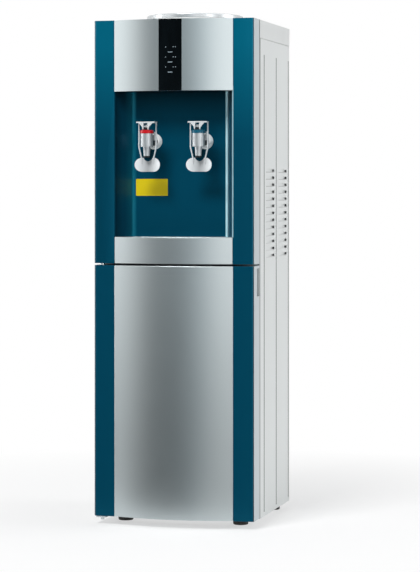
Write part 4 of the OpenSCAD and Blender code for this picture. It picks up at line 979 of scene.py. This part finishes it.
class COOLER_OT_rear_fittings(CoolerOperator, bpy.types.Operator):
    """Drain, switches, mains inlet and screws at the back"""

    bl_idname = "cooler.rear_fittings"
    bl_label = "Rear fittings"

    def execute(self, context):
        for node, slot, radius in (
            ("drain_outlet", "white_plastic", FITTING_EDGE),
            ("drain_cap", "white_plastic", INNER_EDGE),
            ("switch_frame", "black_plastic", FITTING_EDGE),
            ("hot_switch", "switch_red", FITTING_EDGE),
            ("cold_switch", "switch_green", FITTING_EDGE),
            ("mains_inlet", "black_plastic", FITTING_EDGE),
            ("case_screws", "bright_steel", SCREW_EDGE),
        ):
            dress(node, slot, radius)
        return {"FINISHED"}


class COOLER_OT_feet(CoolerOperator, bpy.types.Operator):
    """Rubber feet"""

    bl_idname = "cooler.feet"
    bl_label = "Feet"

    def execute(self, context):
        dress("feet", "rubber_black", FOOT_EDGE, 3)
        return {"FINISHED"}


class COOLER_OT_sticker(CoolerOperator, bpy.types.Operator):
    """Bare yellow sticker on the niche wall"""

    bl_idname = "cooler.sticker"
    bl_label = "Sticker"

    def execute(self, context):
        front_y = NICHE_WALL_Y - sizes().sticker_t
        (left, right), (bottom, top) = STICKER_X, STICKER_Z
        bm = box_mesh((left, front_y, bottom), (right, NICHE_WALL_Y, top))
        corners = [e for e in bm.edges if abs(e.verts[0].co.y - e.verts[1].co.y) > SLIVER]
        bevelled(bm, corners, STICKER_CORNER, CORNER_SEGMENTS)
        card = printed_card("sticker_card", colours().sticker)
        new_piece("niche_sticker", bm, "case", card, weighted=False)
        return {"FINISHED"}


# Stage

WHITE = (1.0, 1.0, 1.0, 1.0)
FLOOR_RADIUS = 14.0
FLOOR_SIDES = 96
# Distances from the cooler at which the floor glows least and fully, and its least glow
FLOOR_GLOW = (0.25, 1.1)
FLOOR_LEAST_GLOW = 0.55
AMBIENT = (0.9, 0.95, 1.0, 1.0)
AMBIENT_STRENGTH = 0.22
# Name, place, target, size and power in watts
LAMPS = (
    ("key_light", (-0.7, -2.6, 3.5), (0, 0, 0.6), (1.3, 1.0), 112),
    ("side_light", (3.4, 0.7, 1.5), (0.1, 0, 0.5), (1.8, 2.4), 50),
    ("top_light", (0.2, 0.6, 3.2), (0, 0, 0.6), (2.0, 2.0), 16),
)
CAMERA_PLACE = (1.100, -4.017, 0.630)
CAMERA_TURN = math.radians(14.87)
CAMERA_LENS = 135.8
CAMERA_SHIFT = -0.1685
# Reflection sweep: its ends to the sides, where it starts and bends up, its lift, the radius and
# steps of its bend, and its top
SWEEP_X = (-5.5, 5.0)
SWEEP_Y = (-0.3, -1.9)
SWEEP_LIFT = 0.002
SWEEP_BEND = 1.0
SWEEP_STEPS = 6
SWEEP_TOP = 3.2
# Brightness up the sweep, by the share of this height
SWEEP_RISE_TOP = 1.15
SWEEP_RISE = ((0.0, 0.29), (0.13, 0.33), (0.23, 1.0), (0.95, 1.0))
# Brightness and tint across the sweep, by its slant to the side as seen from the cooler
PALE, COOL = (1.0, 1.0, 1.0), (0.82, 0.94, 1.0)
SWEEP_TONES = (
    (-1.9, 1.25, PALE), (-1.3, 1.3, PALE), (-1.0, 1.38, PALE), (-0.8, 1.03, PALE),
    (-0.65, 0.38, PALE), (-0.5, 0.19, COOL), (-0.35, 0.21, COOL), (-0.2, 0.23, COOL),
    (-0.05, 0.33, COOL), (0.08, 0.82, COOL), (0.2, 1.3, PALE), (0.35, 1.45, PALE),
    (0.8, 1.2, PALE), (1.0, 3.4, PALE), (1.7, 3.4, PALE),
)
SIDE_STRIP = ((-3.01, -0.85, 0.1), (-3.0, -0.12, 2.3))
SIDE_STRIP_STRENGTH = 7.0


def area_light(name, place, target, size, watts):
    """A soft rectangular lamp aimed at a point."""
    data = bpy.data.lights.new(name, "AREA")
    data.shape = "RECTANGLE"
    data.size, data.size_y = size
    data.energy = watts
    lamp = bpy.data.objects.new(name, data)
    lamp.location = place
    aim = Vector(target) - Vector(place)
    lamp.rotation_euler = aim.to_track_quat("-Z", "Y").to_euler()
    bpy.context.scene.collection.objects.link(lamp)


def wire(tree, *pairs):
    """Links pairs of sockets."""
    for source, target in pairs:
        tree.links.new(source, target)


def sight_rays(tree):
    """One for the rays that show a background: straight, mirrored or through clear parts."""
    ray = tree.nodes.new("ShaderNodeLightPath")
    total = ray.outputs["Is Camera Ray"]
    for kind in ("Is Glossy Ray", "Is Transmission Ray"):
        largest = tree.nodes.new("ShaderNodeMath")
        largest.operation = "MAXIMUM"
        wire(tree, (total, largest.inputs[0]), (ray.outputs[kind], largest.inputs[1]))
        total = largest.outputs["Value"]
    return total


def stage_object(name, bm):
    """A stage object from a mesh under construction."""
    mesh = bpy.data.meshes.new(name)
    bm.to_mesh(mesh)
    bm.free()
    thing = bpy.data.objects.new(name, mesh)
    bpy.context.scene.collection.objects.link(thing)
    return thing


def reflected_card(name, bm):
    """A stage card that only mirrored light meets, its recipe and its glow."""
    card = stage_object(name, bm)
    card.visible_camera = card.visible_diffuse = False
    card.visible_shadow = card.visible_transmission = False
    r = Recipe(name)
    glow = r.add("ShaderNodeEmission")
    r.link(glow.outputs["Emission"], r.tree.nodes["Material Output"].inputs["Surface"])
    card.data.materials.append(r.material)
    return r, glow


class COOLER_OT_stage(CoolerOperator, bpy.types.Operator):
    """Pale floor, studio light and the camera of the photograph"""

    bl_idname = "cooler.stage"
    bl_label = "Stage"

    def execute(self, context):
        context.scene.view_settings.view_transform = "Standard"
        self.floor()
        self.sweep()
        self.side_strip()
        self.world(context.scene)
        for lamp in LAMPS:
            area_light(*lamp)
        self.camera(context.scene)
        return {"FINISHED"}

    def floor(self):
        """Floor that shows the shadow near the cooler and glows white further out."""
        bm = bmesh.new()
        bmesh.ops.create_circle(bm, cap_ends=True, radius=FLOOR_RADIUS, segments=FLOOR_SIDES)
        floor = stage_object("studio_floor", bm)
        material = bpy.data.materials.new("studio_floor")
        material.use_nodes = True
        tree = material.node_tree
        tree.nodes.clear()
        output, paint, glow, mix, coords, distance, far, seen = (
            tree.nodes.new("ShaderNode" + kind) for kind in (
                "OutputMaterial", "BsdfDiffuse", "Emission", "MixShader",
                "TexCoord", "VectorMath", "MapRange", "Math",
            )
        )
        distance.operation = "LENGTH"
        seen.operation = "MULTIPLY"
        paint.inputs["Color"].default_value = (*colours().floor, 1.0)
        glow.inputs["Color"].default_value = WHITE
        far.inputs["From Min"].default_value, far.inputs["From Max"].default_value = FLOOR_GLOW
        far.inputs["To Min"].default_value = FLOOR_LEAST_GLOW
        wire(
            tree,
            (coords.outputs["Object"], distance.inputs[0]),
            (distance.outputs["Value"], far.inputs["Value"]),
            (far.outputs["Result"], seen.inputs[0]),
            (sight_rays(tree), seen.inputs[1]),
            (seen.outputs["Value"], mix.inputs["Fac"]),
            (paint.outputs["BSDF"], mix.inputs[1]),
            (glow.outputs["Emission"], mix.inputs[2]),
            (mix.outputs["Shader"], output.inputs["Surface"]),
        )
        floor.data.materials.append(material)

    def sweep(self):
        """Graded card in front of the cooler, for its reflections: pale sides, darker middle."""
        bm = bmesh.new()
        left, right = SWEEP_X
        start, bend = SWEEP_Y
        centre = SWEEP_LIFT + SWEEP_BEND
        profile = [(start, SWEEP_LIFT), (bend, SWEEP_LIFT)]
        for step in range(1, SWEEP_STEPS + 1):
            angle = math.radians(90 * step / SWEEP_STEPS)
            y = bend - SWEEP_BEND * math.sin(angle)
            profile.append((y, centre - SWEEP_BEND * math.cos(angle)))
        profile.append((bend - SWEEP_BEND, SWEEP_TOP))
        points = [bm.verts.new((left, y, z)) for y, z in profile]
        edges = [bm.edges.new(pair) for pair in zip(points, points[1:])]
        side = bmesh.ops.extrude_edge_only(bm, edges=edges)
        moved = [v for v in side["geom"] if isinstance(v, bmesh.types.BMVert)]
        bmesh.ops.translate(bm, vec=(right - left, 0, 0), verts=moved)
        r, glow = reflected_card("reflection_sweep", bm)
        slant = r.joined("DIVIDE", r.along("X"), r.times(r.along("Y"), -1.0))
        low, high = SWEEP_TONES[0][0], SWEEP_TONES[-1][0]
        brightest = max(tone for _, tone, _ in SWEEP_TONES)
        across = [
            ((at - low) / (high - low), tuple(tone / brightest * c for c in tint))
            for at, tone, tint in SWEEP_TONES
        ]
        r.link(r.ramp(r.spread(slant, low, high), across), glow.inputs["Color"])
        upward = [(at, (tone,) * 3) for at, tone in SWEEP_RISE]
        rise = r.ramp(r.spread(r.along("Z"), 0.0, SWEEP_RISE_TOP), upward)
        r.link(r.times(rise, brightest), glow.inputs["Strength"])

    def side_strip(self):
        """Tall strip light on the left, for the bright corner lines."""
        _, glow = reflected_card("side_strip", box_mesh(*SIDE_STRIP))
        glow.inputs["Strength"].default_value = SIDE_STRIP_STRENGTH

    def world(self, scene):
        """Faint cool light from all round, and white where a ray sees the background."""
        world = bpy.data.worlds.new("studio_world")
        scene.world = world
        world.use_nodes = True
        tree = world.node_tree
        tree.nodes.clear()
        output, mix, ambient, backdrop = (
            tree.nodes.new("ShaderNode" + kind)
            for kind in ("OutputWorld", "MixShader", "Background", "Background")
        )
        ambient.inputs["Color"].default_value = AMBIENT
        ambient.inputs["Strength"].default_value = AMBIENT_STRENGTH
        backdrop.inputs["Color"].default_value = WHITE
        wire(
            tree,
            (sight_rays(tree), mix.inputs["Fac"]),
            (ambient.outputs["Background"], mix.inputs[1]),
            (backdrop.outputs["Background"], mix.inputs[2]),
            (mix.outputs["Shader"], output.inputs["Surface"]),
        )

    def camera(self, scene):
        data = bpy.data.cameras.new("photo_camera")
        data.sensor_width = 36.0
        data.lens = CAMERA_LENS
        data.shift_y = CAMERA_SHIFT
        data.clip_end = 60.0
        camera = bpy.data.objects.new("photo_camera", data)
        camera.location = CAMERA_PLACE
        camera.rotation_euler = (math.radians(90), 0.0, CAMERA_TURN)
        scene.collection.objects.link(camera)
        scene.camera = camera


OPERATORS = (
    COOLER_OT_steel_case, COOLER_OT_top_cover, COOLER_OT_front_mouldings, COOLER_OT_display,
    COOLER_OT_drip_tray, COOLER_OT_door, COOLER_OT_cabinet, COOLER_OT_taps,
    COOLER_OT_bottle_seat, COOLER_OT_water_system, COOLER_OT_rear_fittings, COOLER_OT_feet,
    COOLER_OT_sticker, COOLER_OT_stage,
)


class COOLER_PT_panel(bpy.types.Panel):
    """Sidebar panel with the pieces, colours and sizes"""

    bl_label = "Water Cooler"
    bl_idname = "COOLER_PT_panel"
    bl_space_type = "VIEW_3D"
    bl_region_type = "UI"
    bl_category = "Water Cooler"

    def draw(self, context):
        for operator in OPERATORS:
            self.layout.operator(operator.bl_idname)
        for group in (context.scene.water_cooler_colours, context.scene.water_cooler_sizes):
            box = self.layout.box()
            for name in group.__annotations__:
                box.prop(group, name)


CLASSES = (WaterCoolerColours, WaterCoolerSizes, *OPERATORS, COOLER_PT_panel)


def register():
    for cls in CLASSES:
        bpy.utils.register_class(cls)
    bpy.types.Scene.water_cooler_colours = PointerProperty(type=WaterCoolerColours)
    bpy.types.Scene.water_cooler_sizes = PointerProperty(type=WaterCoolerSizes)


def unregister():
    del bpy.types.Scene.water_cooler_sizes
    del bpy.types.Scene.water_cooler_colours
    for cls in reversed(CLASSES):
        bpy.utils.unregister_class(cls)


def main():
    register()
    for operator in OPERATORS:
        getattr(bpy.ops.cooler, operator.bl_idname.split(".")[1])()


if __name__ == "__main__":
    main()
